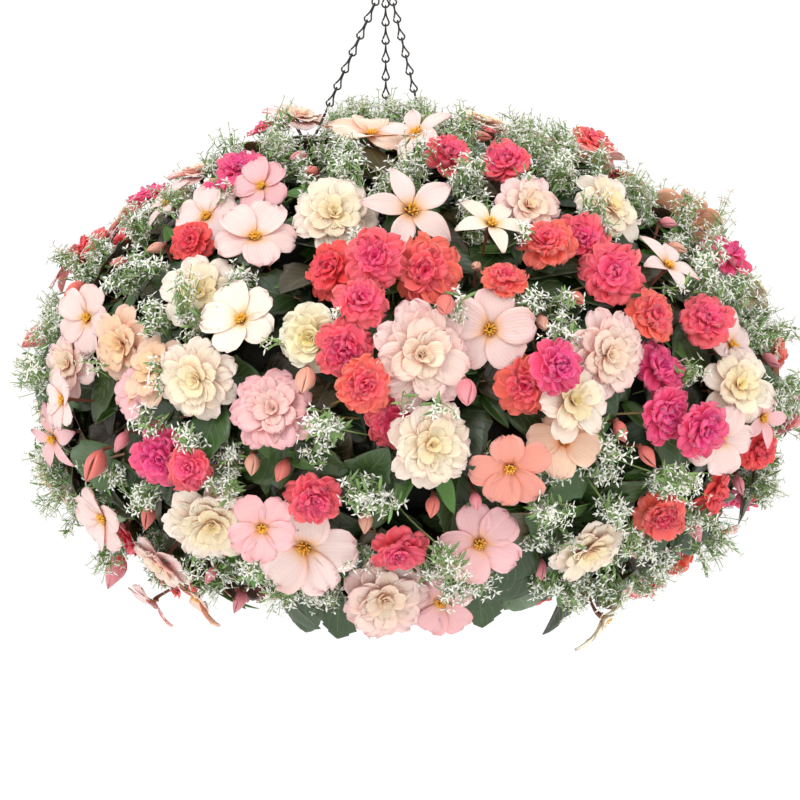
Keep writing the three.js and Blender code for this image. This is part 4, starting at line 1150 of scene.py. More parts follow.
def leaf_grid(leaf, blade, inside, across, random):
    """The points of a leaf's toothed and rippled blade."""
    u = blade["stalk"] + (1 - blade["stalk"]) * inside
    saw = (inside * blade["teeth"]) % 1
    swell = swell_at(u, blade["stalk"]) * (1 + blade["tooth"] * (0.5 - saw) * np.abs(across) ** 3)
    v = np.where(across < 0, blade["narrow"], blade["broad"]) * swell * across
    back = blade["lobe"] * (1 - inside) ** 3 * np.abs(across) ** 1.5
    vein = (inside - VEIN_SLANT * np.abs(across)) * LEAF_VEINS
    ripple = blade["ripple"] * np.cos(TURN * vein) * np.abs(across) * (1 - inside)
    droop = random.uniform(0.8, 1.5) * LEAF_CURL
    rise = LEAF_FOLD * np.abs(v) - droop * u * u + ripple
    sway = random.uniform(-0.08, 0.08) * u * u
    length = leaf["length"]
    return grid_from(leaf["base"], ((u - back) * length, leaf["along"]),
                     ((v + sway) * length, leaf["left"]), (rise * length, leaf["face"]))


def add_leaf(i, leaf, kind, size, light, random):
    """A leaf's blade, on a grid of a size, and its stalk."""
    batch = growth(kind, "leaves", i)
    blade = BLADES[kind]
    inside, across = share_grid(0.015, 0.995, *size)
    grid = leaf_grid(leaf, blade, inside, across, random)
    upper = GREENS[kind]["upper"]
    if kind == "begonia":
        upper = upper + (BRONZE - upper) * (random.random() < BRONZE_SHARE) * 0.6
    # light scales both sides' tints: random tone, and painted shade for low and underside leaves.
    add_shell(batch, grid, LEAF_THICKNESS, upper * light, GREENS[kind]["lower"] * light,
              places(inside, across, random.random()))
    if blade["stalk"]:
        end = leaf["base"] + leaf["along"] * (blade["stalk"] + 0.03) * leaf["length"]
        line = smooth_line([leaf["base"], (leaf["base"] + end) / 2, end], 3)
        add_tube(batch, line, 0.013 * leaf["length"] + 0.4, 6, STEM_TINTS[kind] * 0.8)


class Heads:
    """All flower heads, to keep leaves and twigs out of them and behind them."""

    def __init__(self, flowers):
        self.centres = np.array([flower["centre"] for flower in flowers])
        self.facings = np.array([flower["facing"] for flower in flowers])
        self.radii = np.array([flower["radius"] for flower in flowers])

    def blocks(self, points, back, front, width=0.95):
        """Whether any point lies in a head's column, from back to front in shares of its radius."""
        apart = points[:, None] - self.centres[None]
        depth = (apart * self.facings[None]).sum(-1)
        aside = np.sqrt(np.maximum((apart**2).sum(-1) - depth**2, 0))
        inside = ((aside < width * self.radii) & (depth > back * self.radii)
                  & (depth < front * self.radii))
        return bool(inside.any())

    def add(self, flower):
        self.centres = np.vstack([self.centres, flower["centre"]])
        self.facings = np.vstack([self.facings, flower["facing"]])
        self.radii = np.append(self.radii, flower["radius"])

    def room_at(self, point):
        """How far a point is from the rim of the nearest head."""
        return float((np.linalg.norm(self.centres - point, axis=1) - self.radii).min())


CROWN_SHARE = 0.05


def sector_place(i, random):
    """A random place of a sector, spread evenly over the core, with a few on its open crown."""
    azimuth = SECTOR_TURN + (i + random.random()) * SECTOR_ANGLE
    if random.random() < CROWN_SHARE:
        return azimuth, random.uniform(2, CORE_TOP + 3)
    return azimuth, angle_of_share(random.random())


EXTRA_BLOOM_TRIES = 60
BUD_SIZES = (9, 14)
BLOOM_SIZES = (17, 31)
FRONT_GAPS = 0.6
BACK_BUDS = 0.12


def add_extra_blooms(i, heads, random):
    """More flowers and buds where one sector still has room; the front keeps the photo's gaps."""
    for _ in range(EXTRA_BLOOM_TRIES):
        azimuth, angle = sector_place(i, random)
        out = outwards(azimuth, angle)
        in_front = out[1] < -FACES_VIEWER
        radius = random.uniform(*(BUD_SIZES if in_front else BLOOM_SIZES))
        point = over_core(azimuth, angle, BLOOM_HEIGHT - random.uniform(4, 16))
        if heads.room_at(point) < radius * 0.92:
            continue
        kind = "begonia" if in_front or random.random() < BEGONIA_SHARE else "impatiens"
        form = "rose" if kind == "impatiens" else random.choice(["double", "single", "full", "star"])
        if in_front and random.random() < FRONT_GAPS:
            continue
        if in_front or random.random() < BACK_BUDS:
            form, kind, radius = "bud", "begonia", random.uniform(*BUD_SIZES)
        tints = ["salmon", "pink", "peach"] if form == "bud" else HIDDEN_TINTS[kind]
        flower = {"kind": kind, "form": form, "shoot": i, "centre": point, "radius": radius,
                  "facing": unit(out + 0.4 * random_direction(random)),
                  "foot": over_core(azimuth, min(angle + 3, 158), CORE_ROOT),
                  "tint": random.choice(tints)}
        heads.add(flower)
        add_flower(flower, random)


def blade_points(leaf, blade):
    """A few points of a leaf's blade."""
    return np.array([leaf_point(leaf, u, v * float(swell_at(u, 0.0)))
                     for u in (0.25, 0.5, 0.75, 1.0)
                     for v in (-blade["narrow"], 0.0, blade["broad"])])


FILLERS_A_SECTOR = 230
FILLER_TRIES = 4
FILLER_HEIGHTS = (-8, 26)
FILLER_LENGTHS = {"begonia": (38, 74), "impatiens": (30, 52)}
STEEPEST_FILLER = 42
LANCE_SHARE = 0.34


def filler_leaf(i, kind, random):
    """One try at a leaf low between the flowers, with its height over the core."""
    azimuth, angle = sector_place(i, random)
    height = random.uniform(*FILLER_HEIGHTS)
    length = random.uniform(*FILLER_LENGTHS[kind])
    base = over_core(azimuth, angle, height)
    heading = radians(-90 + random.gauss(0, 75))
    rise = radians(random.uniform(0, STEEPEST_FILLER))
    return leaf_frame(base, outwards(azimuth, angle), heading, rise, length), height


def add_filler_leaves(i, heads, random):
    """The many leaves under and between the flowers of one sector; the lower ones are painted darker as
    shade.
    """
    for _ in range(FILLERS_A_SECTOR):
        kind = "impatiens" if random.random() < LANCE_SHARE else "begonia"
        for _ in range(FILLER_TRIES):
            leaf, height = filler_leaf(i, kind, random)
            if not heads.blocks(blade_points(leaf, BLADES[kind]), -0.4, 3.0):
                # Random tone, times a painted shade that darkens the leaves lower over the core.
                light = random.uniform(0.6, 1.35) * (0.5 + 0.026 * max(height, 0))
                add_leaf(i, leaf, kind, COARSE_GRID, light, random)
                break


UNDERSIDE_LEAVES = 26
UNDERSIDE_HEIGHTS = (-596, -560)
UNDERSIDE_LENGTHS = (38, 62)
UNDERSIDE_INSET = 6


def from_pot(point):
    """How far a point is from the pot's axis."""
    return math.hypot(point[0] - POT_X, point[1])


def add_underside_leaves(i, random):
    """Leaves that hang in the ring between the pot and the skirt of one sector."""
    for _ in range(UNDERSIDE_LEAVES):
        azimuth = SECTOR_TURN + (i + random.random()) * SECTOR_ANGLE
        reach = (SKIRT_END_RADIUS - UNDERSIDE_INSET) * math.sqrt(random.random())
        base = polar(PLANT_CENTRE[0], reach, azimuth, 0)
        if from_pot(base) < POT_BASE_RADIUS + 3 * UNDERSIDE_INSET:
            continue
        base[2] = random.uniform(*UNDERSIDE_HEIGHTS)
        length = random.uniform(*UNDERSIDE_LENGTHS)
        heading = random.uniform(0, ANY_TURN)
        rise = radians(random.uniform(-6, 14))
        leaf = leaf_frame(base, unit(polar(0, 0.2, azimuth, -1)), heading, rise, length)
        kind = "impatiens" if random.random() < LANCE_SHARE else "begonia"
        if from_pot(base + leaf["along"] * length) < POT_BASE_RADIUS + UNDERSIDE_INSET:
            continue
        # Painted shade: the leaves under the planting are darkened to 0.45 to 0.85 of their tints.
        add_leaf(i, leaf, kind, COARSE_GRID, random.uniform(0.45, 0.85), random)


# ---------------------------------------------------------------- euphorbia
BRACT_LENGTH = 5.6
BRACT_WIDTH = 0.32
NARROW_LEAF_WIDTH = 0.2
BLADE_LIFT = 0.15
NARROW_LEAF_LENGTHS = (8, 16)
NARROW_LEAF_SHARE = 0.7
TWIG_SIDES = 4
TWIG_RADII = (0.5, 0.3)
SIDE_TWIG_RADII = (0.3, 0.25)
SIDE_TWIG_LENGTHS = (2.5, 6)
SIDE_TWIG_SHARE = 0.75
SPRAY_FORK = 0.62
SPRAY_STALK = 0.7
X_AXIS = np.array([1.0, 0.0, 0.0])
Z_AXIS = np.array([0.0, 0.0, 1.0])


def add_alike(batch, points, faces, tints, spots):
    """Many shapes with the same faces, from the points of each."""
    count, size = points.shape[:2]
    faces = faces[None] + (np.arange(count) * size)[:, None, None]
    batch.add(points.reshape(-1, 3), [faces.reshape(-1, 4)], tints, spots)


class Gathered:
    """Small shapes of so many rings each, gathered and then made all at once."""

    def __init__(self, rings):
        self.rings = rings
        self.rows = []

    def columns(self):
        return [np.array(part, float) for part in zip(*self.rows)]


class Blades(Gathered):
    """Small plain blades, pointed at both ends."""

    def add(self, base, along, face, length, width, tint):
        self.rows.append((base, along, face, length, width, tint))

    def build(self, batch):
        if not self.rows:
            return
        base, along, face, length, width, tint = self.columns()
        along = units(along)
        face = units(face - (face * along).sum(1, keepdims=True) * along)
        left = np.cross(face, along)
        share = np.linspace(0.02, 0.98, self.rings)
        half = 0.5 * petal_half_width(share, 0.5, 2.0, 0.8) + 0.01
        corners = []
        for lift in (BLADE_LIFT, -BLADE_LIFT):
            for k in range(self.rings):
                for sign in (-1, 1):
                    corners.append(grid_from(
                        base, (share[k] * length, along), (sign * half[k] * width * length, left),
                        (lift - 0.16 * share[k] ** 2 * length, face)))
        points = np.stack(corners, 1)
        along_blade = np.tile(np.repeat(share, 2), 2 * len(points))
        tints = np.repeat(tint, points.shape[1], axis=0)
        add_alike(batch, points, shell_faces(self.rings, 2), tints, places(along_blade, 0, 0))


class Twigs(Gathered):
    """Thin bars along short lines of as many points as rings."""

    def add(self, line, thick, thin):
        self.rows.append((line, np.linspace(thick, thin, self.rings)))

    def build(self, batch, tint):
        if not self.rows:
            return
        lines, radii = self.columns()
        ahead = units(np.gradient(lines, axis=1))
        middle = ahead[:, self.rings // 2][:, None]
        helper = np.where(np.abs(middle[..., 2:]) < 0.9, Z_AXIS, X_AXIS)
        side = units(np.cross(helper, ahead))
        up = np.cross(ahead, side)
        turns = TURN * np.arange(TWIG_SIDES) / TWIG_SIDES
        ring = np.cos(turns)[:, None] * side[:, :, None] + np.sin(turns)[:, None] * up[:, :, None]
        points = lines[:, :, None] + radii[:, :, None, None] * ring
        size = self.rings * TWIG_SIDES
        walls = grid_faces(self.rings, TWIG_SIDES, closed=True)[:, ::-1]
        ends = np.array([np.arange(TWIG_SIDES)[::-1], size - TWIG_SIDES + np.arange(TWIG_SIDES)])
        add_alike(batch, points.reshape(-1, size, 3), np.concatenate([walls, ends]), tint, 0)


def add_bracts(bracts, tip, way, size, random):
    """The tiny white bracts that fan out at a twig's end."""
    axes = cross_axes(way)
    count = random.choice([2, 3, 3, 4])
    turn = random.uniform(0, ANY_TURN)
    tint = WHITE_BRACT * random.uniform(0.86, 1.0)
    for k in range(count):
        out = around(*axes, turn + TURN * k / count + random.uniform(-0.5, 0.5))
        length = size * random.uniform(0.7, 1.2)
        bracts.add(tip, out + way * random.uniform(0.1, 0.8), way, length, BRACT_WIDTH, tint)


def add_twig(parts, fork, tip, way, facing, random):
    """A thin twig with bracts at its tip and beside it, and narrow leaves."""
    bracts, leaves, twigs, side_twigs = parts
    bend = fork + (tip - fork) * 0.5 + random_direction(random) * 2
    line = smooth_line([fork, bend, tip], 2)
    twigs.add(line, *TWIG_RADII)
    add_bracts(bracts, tip, unit(tip - bend), BRACT_LENGTH, random)
    for node in line[1:-1]:
        side = unit(np.cross(way, random_direction(random)) + 0.4 * way)
        if random.random() < SIDE_TWIG_SHARE:
            end = node + side * random.uniform(*SIDE_TWIG_LENGTHS)
            side_twigs.add(np.array([node, end]), *SIDE_TWIG_RADII)
            add_bracts(bracts, end, unit(side + way), BRACT_LENGTH * 0.9, random)
        if random.random() < NARROW_LEAF_SHARE:
            tint = GREENS["euphorbia"]["upper"] * random.uniform(0.6, 1.25)
            length = random.uniform(*NARROW_LEAF_LENGTHS)
            leaves.add(node, way * 0.7 - side, facing, length, NARROW_LEAF_WIDTH, tint)


def add_spray(i, foot, centre, facing, spread, count, heads, random):
    """One airy head: a stalk that forks into twigs with bracts and narrow leaves."""
    parts = Blades(3), Blades(4), Twigs(5), Twigs(2)
    stems = growth("euphorbia", "stems", i)
    tint = STEM_TINTS["euphorbia"]
    fork = foot + (centre - foot) * SPRAY_FORK
    bend = (foot + fork) / 2 + 2 * random_direction(random)
    add_tube(stems, smooth_line([foot, bend, fork], 3), SPRAY_STALK, 6, tint)
    for _ in range(count):
        way = unit(facing * 0.45 + random_direction(random))
        tip = centre + way * spread * random.uniform(0.3, 1.0)
        if not heads.blocks(np.array([tip, (tip + fork) / 2]), -0.35, 0.3, 0.9):
            add_twig(parts, fork, tip, way, facing, random)
    bracts, leaves, twigs, side_twigs = parts
    twigs.build(stems, tint)
    side_twigs.build(stems, tint)
    bracts.build(growth("euphorbia", "bracts", i))
    leaves.build(growth("euphorbia", "leaves", i))


EXTRA_SPRAYS_A_SECTOR = 36
SPRAY_TRIES = 3
SPRAY_HEIGHTS = (30, 62)
SPRAY_SPREADS = (16, 27)
SPRAY_TWIGS = (16, 24)


def add_extra_sprays(i, heads, random):
    """The sprays that froth between the flowers of one sector, at the roomiest of a few places."""
    for _ in range(EXTRA_SPRAYS_A_SECTOR):
        tries = []
        for _ in range(SPRAY_TRIES):
            azimuth, angle = sector_place(i, random)
            angle = min(angle, 146)
            height = random.uniform(*SPRAY_HEIGHTS)
            centre = over_core(azimuth, angle, height)
            tries.append((heads.room_at(centre), azimuth, angle, centre))
        _, azimuth, angle, centre = max(tries, key=lambda found: found[0])
        foot = over_core(azimuth + random.uniform(-4, 4), min(angle + 4, 150), 0)
        facing = unit(outwards(azimuth, angle) + 0.5 * random_direction(random))
        spread = random.uniform(*SPRAY_SPREADS)
        add_spray(i, foot, centre, facing, spread, random.randint(*SPRAY_TWIGS), heads, random)


STRAYS_A_SECTOR = 7
STRAY_SEED = 100
STRAY_HEIGHT = 74
STRAY_ANGLES = (35, 128)
STRAY_SPREADS = (9, 15)
STRAY_TWIGS = (4, 7)


def add_stray_threads(i, heads):
    """Long loose threads with a few bracts, which reach out past the flowers of one sector."""
    random = Random(STRAY_SEED + i)
    for _ in range(STRAYS_A_SECTOR):
        azimuth = SECTOR_TURN + (i + random.random()) * SECTOR_ANGLE
        angle = random.uniform(*STRAY_ANGLES)
        out = outwards(azimuth, angle)
        centre = over_core(azimuth, angle, random.uniform(0.8, 1.0) * STRAY_HEIGHT)
        centre = centre - vector(0, 0, random.uniform(0, 12))
        foot = over_core(azimuth + random.uniform(-6, 6), angle - 4, 10)
        facing = unit(out + 0.6 * random_direction(random))
        spread = random.uniform(*STRAY_SPREADS)
        add_spray(i, foot, centre, facing, spread, random.randint(*STRAY_TWIGS), heads, random)


# ---------------------------------------------------------------- stems and cores
STEM_SIDES = 10


def add_stems(kind, i):
    """A stem from the compost to the core, and along it if it trails outside."""
    wire = STEM_KINDS[kind]["wire"]
    tone = STEM_TINTS[kind] * 0.8
    stems = growth(kind, "stems", i)
    add_tube(stems, smooth_line(stem_inside(kind, i), 5), wire * 0.9, STEM_SIDES, tone)
    if "run" in STEM_KINDS[kind]:
        line = smooth_line(stem_outside(kind, i), 6)
        add_tube(stems, line, np.linspace(wire, wire * 0.55, len(line)), STEM_SIDES, tone)


CORE_ROWS = 40
CORE_COLUMNS = 14
# Painted shade: the near-black of the deep inside of the planting.
CORE_PAINTED_SHADE = colour(14, 20, 11)
CORE_THICKNESS = 7
CORE_SUNK = 6
CORE_BUMP = 2.0


def lumps(azimuth, angle):
    """A bumpy height for the core, the same from one sector to the next."""
    a = np.radians(azimuth)
    t = np.radians(angle)
    return (np.sin(17 * a + 5 * np.sin(9 * t)) + np.sin(31 * t + 4 * np.sin(11 * a))
            + 0.6 * np.sin(43 * a - 27 * t))


def add_core(i):
    """The shaded tangle behind the leaves of one sector, as a closed bumpy shell in a near-black
    painted shade.
    """
    angle = np.linspace(CORE_TOP, SKIRT_END, CORE_ROWS)[:, None]
    azimuth = SECTOR_TURN + (i + np.linspace(0.002, 0.998, CORE_COLUMNS)[None]) * SECTOR_ANGLE
    height = -CORE_SUNK + CORE_BUMP * lumps(azimuth, angle)
    r, z = core_profile(angle)
    nr, nz = core_normal(angle)
    a = np.radians(azimuth)
    radius = r + nr * height
    grid = np.stack([PLANT_CENTRE[0] + radius * np.cos(a), PLANT_CENTRE[1] + radius * np.sin(a),
                     PLANT_CENTRE[2] + z + nz * height], -1)
    add_shell(growth("begonia", "core", i), grid, CORE_THICKNESS, CORE_PAINTED_SHADE, CORE_PAINTED_SHADE, 0)


# ---------------------------------------------------------------- pot, compost and hanger
DARK_WIRE = colour(70, 66, 62)
POT_GREEN = colour(40, 52, 44)
COMPOST = colour(52, 38, 28)
DRAIN_RADIUS = 5
DRAIN_CIRCLE = 60
LUG_HOLE_RADIUS = 2.4
POT_SEGMENTS = 96
SOIL_SEGMENTS = 90
POT_EDGE = 0.8
HOLE_SIDES = 20
HOOK_SIDES = 16
CHAIN_SIDES = 10
LEG_SIDES = 12
SHARP_EDGE = radians(30)


def lathe_batch(profile, segments, tint):
    """A closed turned shape; a point on the axis becomes a small flat."""
    batch = Batch()
    turns = TURN * np.arange(segments) / segments
    profile = np.array(profile, float)
    radius = np.maximum(profile[:, :1], 0.2)
    rings = np.stack([POT_X + radius * np.cos(turns), radius * np.sin(turns),
                      RIM_Z + profile[:, 1:] + 0 * turns], -1)
    count = len(profile)
    faces = [grid_faces(count, segments, closed=True)[:, ::-1],
             np.arange(segments)[None, ::-1], (count - 1) * segments + np.arange(segments)[None]]
    batch.add(rings.reshape(-1, 3), faces, tint, 0)
    return batch


def pot_profile():
    """The pot's section with a softened foot and a rolled rim."""
    base = -POT_DEPTH
    wall = POT_WALL
    edge = POT_EDGE
    return [
        (0, base), (POT_BASE_RADIUS - 3, base), (POT_BASE_RADIUS - edge, base + edge),
        (POT_BASE_RADIUS, base + 3), (POT_MOUTH_RADIUS + wall - 1, -FLANGE - 4),
        (POT_MOUTH_RADIUS + wall, -FLANGE), (RIM_RADIUS - edge, -FLANGE),
        (RIM_RADIUS, -FLANGE + edge), (RIM_RADIUS, -edge), (RIM_RADIUS - edge, 0),
        (POT_MOUTH_RADIUS + edge, 0), (POT_MOUTH_RADIUS, -edge),
        (POT_BASE_RADIUS - wall, base + wall + 2),
        (POT_BASE_RADIUS - wall - 2, base + wall), (0, base + wall),
    ]


def cut_holes(thing, holes, tint):
    """Cuts round holes straight down, given as their middles and radii."""
    batch = Batch()
    for centre, radius in holes:
        add_tube(batch, [centre - 8 * Z_AXIS, centre + 8 * Z_AXIS], radius, HOLE_SIDES, 0)
    cutter = batch.to_object("hole_cutter")
    modifier = thing.modifiers.new("holes", "BOOLEAN")
    modifier.operation = "DIFFERENCE"
    modifier.solver = "EXACT"
    modifier.object = cutter
    view = bpy.context.evaluated_depsgraph_get()
    mesh = bpy.data.meshes.new_from_object(thing.evaluated_get(view))
    thing.modifiers.clear()
    mesh.set_sharp_from_angle(angle=SHARP_EDGE)
    # The cut leaves its new corners white.
    tints = np.tile([*tint, 1.0], len(mesh.vertices))
    mesh.attributes["tint"].data.foreach_set("color", tints)
    thing.data = mesh
    bpy.data.objects.remove(cutter)


def build_pot():
    """The pot, with lug holes in its flange and drain holes in its base."""
    thing = lathe_batch(pot_profile(), POT_SEGMENTS, POT_GREEN).to_object("pot_shell")
    lugs = [hanger_line(index)[0] for index in range(len(CHAIN_AZIMUTHS))]
    drains = [polar(POT_X, DRAIN_CIRCLE, 45 + 90 * i, RIM_Z - POT_DEPTH) for i in range(4)]
    holes = [(lug - FLANGE / 2 * Z_AXIS, LUG_HOLE_RADIUS) for lug in lugs]
    cut_holes(thing, holes + [(drain, DRAIN_RADIUS) for drain in drains], POT_GREEN)
    return thing


def build_soil():
    """The compost, with a crumbly top."""
    taper = (POT_MOUTH_RADIUS - POT_BASE_RADIUS + POT_WALL) / (POT_DEPTH - POT_WALL)
    top_radius = POT_MOUTH_RADIUS - taper * SOIL_DROP - 0.6
    floor = -POT_DEPTH + POT_WALL + GAP
    profile = [(0, floor), (POT_BASE_RADIUS - POT_WALL - 0.8, floor), (top_radius, -SOIL_DROP - 2)]
    profile += [(r, -SOIL_DROP + 1.6 * math.sin(r * 0.9)) for r in np.linspace(top_radius - 1, 2, 40)]
    return lathe_batch(profile, SOIL_SEGMENTS, COMPOST).to_object("compost")


def hook_line():
    """The S: round the upper bend, then back round the lower one."""
    top = [bend_point(HOOK_TOP_RADIUS, -HOOK_TOP_RADIUS, d) for d in range(205, -31, -29)]
    low = [bend_point(HOOK_LOW_RADIUS, HOOK_LOW_Z, d) for d in range(150, 386, 29)]
    return smooth_line(top + low, 6)


def build_hook():
    """The S-hook's wire, with slightly worn ends."""
    line = hook_line()
    radii = np.full(len(line), HOOK_WIRE / 2)
    radii[0] = radii[-1] = HOOK_WIRE / 3
    batch = Batch()
    add_tube(batch, line, radii, HOOK_SIDES, DARK_WIRE)
    return batch.to_object("hook_wire")


ROUND_REACH = (LINK_PITCH + CHAIN_WIRE) / 2
HALF_LOOP = (CHAIN_LOOP_WIDTH - CHAIN_WIRE) / 2


def half_link(twist, along, across):
    """The wire of half a link: round its far end, from one side to the other."""
    centre = twist + along * (ROUND_REACH - HALF_LOOP)
    turns = [radians(d) for d in range(-100, 101, 25)]
    return [centre + along * (HALF_LOOP * math.cos(t)) + across * (HALF_LOOP * math.sin(t))
            for t in turns]


def link_line(twist, along):
    """A link's closed loop: two half links at right angles, pinched together at the twist."""
    side, up = cross_axes(along)
    pinch = unit(side + up) * CHAIN_PINCH
    corners = half_link(twist, along, up) + [twist + pinch]
    corners += half_link(twist, -along, side)[::-1] + [twist - pinch]
    return smooth_line(corners, 3, closed=True)


def link_place(link):
    """How far down its leg a link's twist is."""
    return (link + 0.5) * LINK_PITCH + 3 * WIRE_FLAT


def build_chain(index, side_name):
    """The jack-chain links of one leg, each a closed loop of round wire."""
    _, _, direction, start = hanger_line(index)
    links = []
    for link in range(CHAIN_LINKS):
        batch = Batch()
        line = link_line(start + direction * link_place(link), direction)
        add_tube(batch, line, CHAIN_WIRE / 2, CHAIN_SIDES, DARK_WIRE, closed=True)
        links.append(batch.to_object(f"chain_{side_name}_link_{link + 1}"))
    return links


def build_leg(index, side_name):
    """The stiff wire from the last link to the rim: an eye above and a bent foot below."""
    lug, above, direction, start = hanger_line(index)
    radius = LEG_WIRE / 2
    batch = Batch()
    eye_bar = link_place(CHAIN_LINKS - 1) + LOOP_REACH - 2 * WIRE_FLAT - GAP
    first = start + direction * (eye_bar + LOOP_REACH)
    across = cross_axes(direction)[0]
    centre = start + direction * (eye_bar + HALF_LOOP - 1.3)
    turns = [radians(d) for d in range(-120, 121, 20)]
    ring = [centre - direction * HALF_LOOP * math.cos(t) + across * HALF_LOOP * math.sin(t)
            for t in turns]
    eye = smooth_line([first] + ring + [first], 3)
    add_tube(batch, eye, CHAIN_WIRE / 2, CHAIN_SIDES, DARK_WIRE)
    outward = unit(vector(lug[0] - POT_X, lug[1], 0))
    under = lug - vector(0, 0, FLANGE + GAP + radius)
    foot = [first, (first + above) / 2, above - direction * 6, above, lug, under + vector(0, 0, 1),
            under + outward * 1.5, under + outward * 6]
    add_tube(batch, smooth_line(foot, 5), radius, LEG_SIDES, DARK_WIRE)
    return batch.to_object(f"leg_wire_{side_name}")


# ---------------------------------------------------------------- materials
class Nodes:
    """A material's nodes, with short ways to add and join them."""

    def __init__(self, name):
        self.material = bpy.data.materials.new(name)
        self.material.use_nodes = True
        self.tree = self.material.node_tree
        self.shader = self.tree.nodes["Principled BSDF"]

    def feed(self, node, socket, value):
        """Gives a socket a plain value, or joins another socket to it."""
        target = node.inputs[socket]
        if isinstance(value, bpy.types.NodeSocket):
            self.tree.links.new(value, target)
        else:
            target.default_value = value

    def feed_all(self, node, inputs):
        for name, value in inputs.items():
            self.feed(node, name.replace("_", " "), value)

    def shade(self, **inputs):
        """Sets or joins sockets of the shader itself."""
        self.feed_all(self.shader, inputs)

    def add(self, kind, **inputs):
        node = self.tree.nodes.new("ShaderNode" + kind)
        self.feed_all(node, inputs)
        return node

    def maths(self, operation, *values):
        node = self.add("Math")
        node.operation = operation
        for index, value in enumerate(values):
            self.feed(node, index, value)
        return node.outputs[0]

    def times(self, first, second):
        return self.maths("MULTIPLY", first, second)

    def tinge(self, share, body, rgb, blend="MULTIPLY"):
        """Mixes a share of a plain colour into another colour."""
        node = self.add("Mix")
        node.data_type = "RGBA"
        node.blend_type = blend
        for index, value in ((0, share), (6, body), (7, opaque(*rgb))):
            self.feed(node, index, value)
        return node.outputs[2]

    def attribute(self, name):
        node = self.add("Attribute")
        node.attribute_name = name
        return node

    def tint(self):
        return self.attribute("tint").outputs["Color"]

    def place(self):
        """How far along a petal or leaf a point is, and how far across."""
        node = self.add("SeparateXYZ", Vector=self.attribute("place").outputs["Vector"])
        return node.outputs["X"], node.outputs["Y"]

    def noise(self, scale, detail):
        node = self.add("TexNoise", Vector=self.add("TexCoord").outputs["Object"], Scale=scale,
                        Detail=detail, Roughness=0.5)
        return node.outputs["Fac"]

    def ramp(self, value, low, high):
        """Stretches a value from low..high to 0..1."""
        return self.add("MapRange", Value=value, From_Min=low, From_Max=high).outputs["Result"]

    def bump(self, height, strength, depth):
        node = self.add("Bump", Height=height, Strength=strength, Distance=depth)
        self.shade(Normal=node.outputs["Normal"])


def opaque(red, green, blue):
    return (*colour(red, green, blue), 1.0)


PETAL_VEINS = 34.0
VEIN_WANDER = 5.0
BLUSH_SCALE = 45.0
CELL_SCALE = 900.0
MOTTLE_SCALE = 70.0
LEAF_GRAIN_SCALE = 420.0
WARM_PATCH = (240, 214, 200)
VEIN_SHADE = (214, 170, 160)
# Painted shade: the warm dark mixed into each petal towards its foot.
FOOT_PAINTED_SHADE = (222, 176, 150)
LEAF_PATCH = (196, 204, 150)
DUST = (110, 104, 92)


def petal_material(name, roughness, softness, vein_depth):
    """Thin soft petals: their own tints, faint veins, a painted shade towards each petal's foot, and a
    slight sparkle of cells.
    """
    nodes = Nodes(name)
    along, across = nodes.place()
    wander = nodes.noise(60.0, 2.0)
    fan = nodes.maths("ADD", nodes.times(across, PETAL_VEINS), nodes.times(wander, VEIN_WANDER))
    veins = nodes.maths("SINE", fan)
    blush = nodes.ramp(nodes.noise(BLUSH_SCALE, 2.0), 0.35, 0.75)
    body = nodes.tinge(nodes.times(blush, 0.16), nodes.tint(), WARM_PATCH)
    body = nodes.tinge(nodes.times(nodes.ramp(veins, -1.0, 1.0), 0.07), body, VEIN_SHADE)
    # Painted shade: each petal darkens towards its foot, where the petals crowd.
    body = nodes.tinge(nodes.times(nodes.ramp(along, 0.4, 0.0), 0.18), body, FOOT_PAINTED_SHADE)
    nodes.shade(Base_Color=body, Roughness=roughness, Sheen_Weight=0.12, Subsurface_Weight=softness,
                Subsurface_Radius=(1.0, 0.55, 0.45), Subsurface_Scale=0.004)
    cells = nodes.noise(CELL_SCALE, 2.0)
    height = nodes.maths("ADD", nodes.times(veins, 0.5), nodes.times(cells, 0.6))
    nodes.bump(height, 0.35, vein_depth)
    return nodes.material


def leaf_material(name, vein_tint, roughness, coat, vein_count):
    """Leaves with a pale midrib and side veins, mottled green and a slight sheen."""
    nodes = Nodes(name)
    along, across = nodes.place()
    across = nodes.maths("ABSOLUTE", across)
    slanted = nodes.maths("SUBTRACT", along, nodes.times(across, VEIN_SLANT))
    wave = nodes.maths("PINGPONG", nodes.times(slanted, vein_count), 0.5)
    veins = nodes.maths("MAXIMUM", nodes.ramp(wave, 0.1, 0.0), nodes.ramp(across, 0.07, 0.01))
    mottle = nodes.ramp(nodes.noise(MOTTLE_SCALE, 4.0), 0.3, 0.7)
    body = nodes.tinge(nodes.times(mottle, 0.5), nodes.tint(), LEAF_PATCH)
    body = nodes.tinge(nodes.times(veins, 0.22), body, vein_tint, "MIX")
    nodes.shade(Base_Color=body, Roughness=roughness, Coat_Weight=coat, Coat_Roughness=0.35)
    grain = nodes.noise(LEAF_GRAIN_SCALE, 2.0)
    height = nodes.maths("SUBTRACT", nodes.times(grain, 0.4), nodes.times(veins, 0.8))
    nodes.bump(height, 0.5, 0.0008)
    return nodes.material


def plain_material(name, roughness, metallic=0.0, grain=0.0, grain_scale=200.0, variation=0.2):
    """A material of the mesh's own tint, varied and roughened by noise."""
    nodes = Nodes(name)
    patches = nodes.ramp(nodes.noise(grain_scale * 0.3, 4.0), 0.3, 0.7)
    body = nodes.tinge(nodes.times(patches, variation), nodes.tint(), DUST)
    nodes.shade(Base_Color=body, Roughness=roughness, Metallic=metallic)
    if grain:
        nodes.bump(nodes.noise(grain_scale, 6.0), 0.6, grain)
    return nodes.material


def floor_material():
    nodes = Nodes("pale_floor")
    nodes.shade(Base_Color=opaque(255, 255, 255), Roughness=0.9)
    return nodes.material


